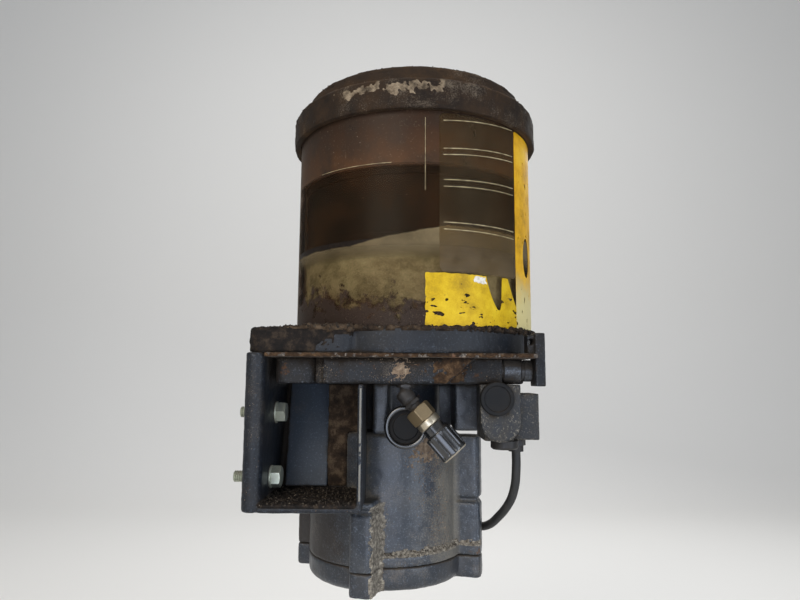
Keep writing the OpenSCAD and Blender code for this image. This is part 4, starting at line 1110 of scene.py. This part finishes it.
def bracket_dirt():
    """Oily earth and grit on the shelf, mud on the web beside the rib, and the rib's worn front edge."""
    def shelf(p, facing):
        return 0.75 if facing.z >= 0.35 and -39 < p.z < -30 else -1

    def web(p, facing):
        return 0.5 if 49 < p.x < 75.5 and -33 < p.z < 41 and p.y > 19 else -1

    def rib_edge(p, facing):
        return 0.3 + 0.5 * rough(p, 5, 5) if facing.y < -0.85 and 71 < p.x < 80 and -33 < p.z < 40 else -1

    heap = crust("shelf_dirt", bracket, shelf, 2.6, oily_dirt_and_shade, seed=4)
    crust("web_dirt", bracket, web, 1.4, dry_dirt, lump_mm=4, seed=9)
    crust("rib_wear", bracket, rib_edge, 0.08, rubbed_paint, lump_mm=3, seed=45)
    strew("bracket_splash", bracket, lambda p, n: n.y < -0.7 and rough(p, 8, 2) > 0.3, 12, 0.2, 0.8, 15,
          splashed_mud_and_glints)
    strew("shelf_grit", heap, lambda p, n: n.z > 0.2, 22, 0.4, 2.0, 5)
    strew("bracket_grit", bracket, lambda p, n: n.z > 0.3 and -33 < p.z < 38, 8, 0.3, 1.2, 11)


def housing_dirt():
    """Sand on the flange and beside the front pillar, mud below the port, and splashes."""
    def flange(p, facing):
        if facing.z > 0.5 and abs(p.z - FLANGE_TOP) < 2.5:
            return 0.5
        wall = 0.4 - (p.z - FLANGE_TOP) / 7 if round_motor(p) > 4 and facing.y < -0.3 else -1
        return min(wall, (p.z - FLANGE_TOP + 1) / 2)

    def pillar_side(p, facing):
        beside = 1 - abs(round_motor(p) + 5.3) / 3.6
        return beside * 0.8 if -104 < p.z < -43 and facing.y < 0.6 else -1

    def port_mud(p, facing):
        side = 1 - abs(p.x - 122) / 13
        down = 1 - abs(p.z + 5) / 13
        return min(side, down) * 0.8 - 0.25 + 0.4 * rough(p, 3, 7) if facing.y < -0.4 else -1

    def splashed(p, facing):
        drift = 1 - abs(round_motor(p) - 36 + 0.1 * p.z) / 18
        return facing.z < 0.5 and -79 < p.z < 2 and drift + 0.6 * rough(p, 7, 5) > 0.35

    def below_port(p, facing):
        return facing.y < -0.3 and math.dist((p.x, p.z), (122, -6)) < 20 + 9 * rough(p, 5)

    def beside_pillar(p, facing):
        return abs(round_motor(p) + 4.5) < 5 and -80 < p.z < -43

    ledge = crust("flange_dirt", housing, flange, 1.6, pale_sand, seed=2)
    crust("pillar_dirt", housing, pillar_side, 0.8, pale_sand, lump_mm=4, seed=31)
    crust("cover_dirt", cover, pillar_side, 0.8, pale_sand, lump_mm=4, seed=33)
    crust("port_mud", housing, port_mud, 0.5, splashed_mud_and_glints, lump_mm=3, seed=35, cuts=1)
    strew("housing_splash", housing, splashed, 34, 0.2, 0.9, 13, splashed_mud_and_glints)
    strew("port_splash", housing, below_port, 22, 0.2, 0.9, 19, splashed_mud_and_glints)
    strew("flange_grit", ledge, lambda p, n: n.z > -0.3 and p.y < 60, 16, 0.3, 1.2, 7, dry_dirt)
    strew("pillar_grit", housing, beside_pillar, 26, 0.3, 1.2, 43, pale_sand)


def block_dirt():
    """A pale rusty patch and brown earth on the block, and rust-brown earth on the plate's edge."""
    def patch(p, facing):
        off = math.hypot((p.x - 103) / 9, (p.z - 52) / 9)
        return 0.7 - off + 0.6 * rough(p, 3, 9) if facing.y < -0.6 else -1

    def slanted_end(p, facing):
        side = 0.8 - abs(p.x - 137 - 0.5 * (p.z - 50)) / 13
        return side + 0.7 * rough(p, 6, 4) if p.y < 0 and facing.z > -0.5 and facing.y < 0.5 else -1

    def plate_edge(p, facing):
        return 0.1 + 0.3 * max(0, rough(p, 12, 3)) if facing.y < -0.5 and p.x < 190 else -1

    strew("block_splash", block, lambda p, n: n.y < -0.7 and rough(p, 9, 4) > 0.1, 16, 0.2, 0.9, 17,
          splashed_mud_and_glints)
    crust("plate_edge_dirt", plate, plate_edge, 1.0, rust_earth, lump_mm=4, seed=8)
    crust("block_mud", block, patch, 0.35, splashed_mud_and_glints, lump_mm=3, seed=37, cuts=1)
    crust("block_end_dirt", block, slanted_end, 0.4, rust_earth, lump_mm=3, seed=41, cuts=1)


reservoir_dirt()
lid_dirt()
bracket_dirt()
housing_dirt()
block_dirt()


def stickers():
    """Yellow strips with torn gaps, a clear label with cream rules, torn paper, and two painted highlights.

    t is the turn round the tube in degrees, of which one is about 1.6 mm.
    """
    arc, sticker_top = 1.6, 228.3

    def ragged(t, z, size=1.0):
        return rough((t * arc, z, 0), 5, 2) * size

    def foot_strip(t, z):
        low = 81.2 + 1.1 * rough((t * arc, 0, 0), 6, 1) + (1.5 if t > 46 else 0)
        edge = min(z - low, 116.2 - z, (t - 3.6) * arc, (51.6 - t) * arc) + ragged(t, z, 0.5)
        if z > 93:
            # Two tongues torn out of the upper edge
            rise = math.sqrt(min(1.05, (z - 93) / 23))
            edge = min(edge, abs(t - 35.9 - 2.6 * max(0, (116 - z) / 23) ** 1.5) - 4.7 * rise)
            edge = min(edge, abs(t - 48.3 - 5.4 * max(0, (116.2 - z) / 23.5) ** 1.1) - 3.8 * rise)
        chips = rough((t, z * 1.5, 9), 4.2, 11) - (0.55 if z < 104 else 0.8)
        return min(edge, -chips * 3)

    def upright_strip(t, z):
        edge = min((t - 51.2) * arc, (76 - t) * arc + ragged(t, z, 1.6), z - 81.5 + ragged(t, z, 1.2),
                   sticker_top - z)
        across, up = (t - 63.5) / 4.5, (z - 136) / 15
        chips = rough((t * arc, z * 0.8, 4), 5, 17) - 0.68
        # A long hole is worn through its middle
        hole = (across ** 2 + up ** 2 - 1) * 4 if max(abs(across), abs(up)) < 2 else edge
        return min(edge, hole, -chips * 3)

    def label(t, z):
        return min((t - 9.5) * arc, (51.3 - t) * arc, z - 117.2, sticker_top - z)

    def paper(t, z):
        return min((t - 25) * arc, (31 - t) * arc, z - 111, 115.4 - z) + ragged(t, z)

    film("foot_strip", foot_strip, (2.5, 53), (78, 117.5), (0.45, 0.6), yellow_vinyl)
    film("upright_strip", upright_strip, (50.5, 78), (79, 229.5), (0.7, 1.0), amber_vinyl, out=0.42)
    film("label_film", label, (9, 52), (116, 229.5), (2, 4), clear_label, "clear_tube", out=0.2, thick=0.15)
    film("torn_paper_patch", paper, (23, 33), (109, 117), (0.3, 0.3), torn_paper, out=0.5, thick=0.15)

    # Height of each rule at its left and right end
    rules = ((198.2, 203.8), (202.6, 208.2), (180.6, 184.0), (175.9, 178.9), (151.0, 151.6), (146.3, 146.2),
             (222.6, 228.0))
    for number, ends in enumerate(rules):
        def rule(t, z, ends=ends):
            line = ends[0] + (ends[1] - ends[0]) * (t - 11) / 39
            return min(0.26 - abs(z - line), t - 11, 50 - t) + 0.12 * rough((t * arc, z, 0), 2.5, 5)

        film(f"rule_{number}", rule, (10.5, 50.5), (min(ends) - 1, max(ends) + 1), (1.0, 0.25), cream_ink_and_highlight,
             out=0.32, thick=0.12)

    # A thin cream arc along the follower's top lip: a painted highlight
    film("follower_lip_highlight", lambda t, z: min(0.14 - abs(z - 192.4), t + 48, -10 - t), (-49, -9),
         (192, 192.8), (2, 0.1), cream_ink_and_highlight, out=0.2, thick=0.12)
    # A thin upright cream line on the tube: a painted glint of an edge
    film("upright_glint_line", lambda t, z: min(0.08 - abs(t - 3.5), z - 170.5, 226 - z), (3.2, 3.8), (170, 227),
         (0.06, 3), cream_ink_and_highlight, out=0.2, thick=0.12)


stickers()
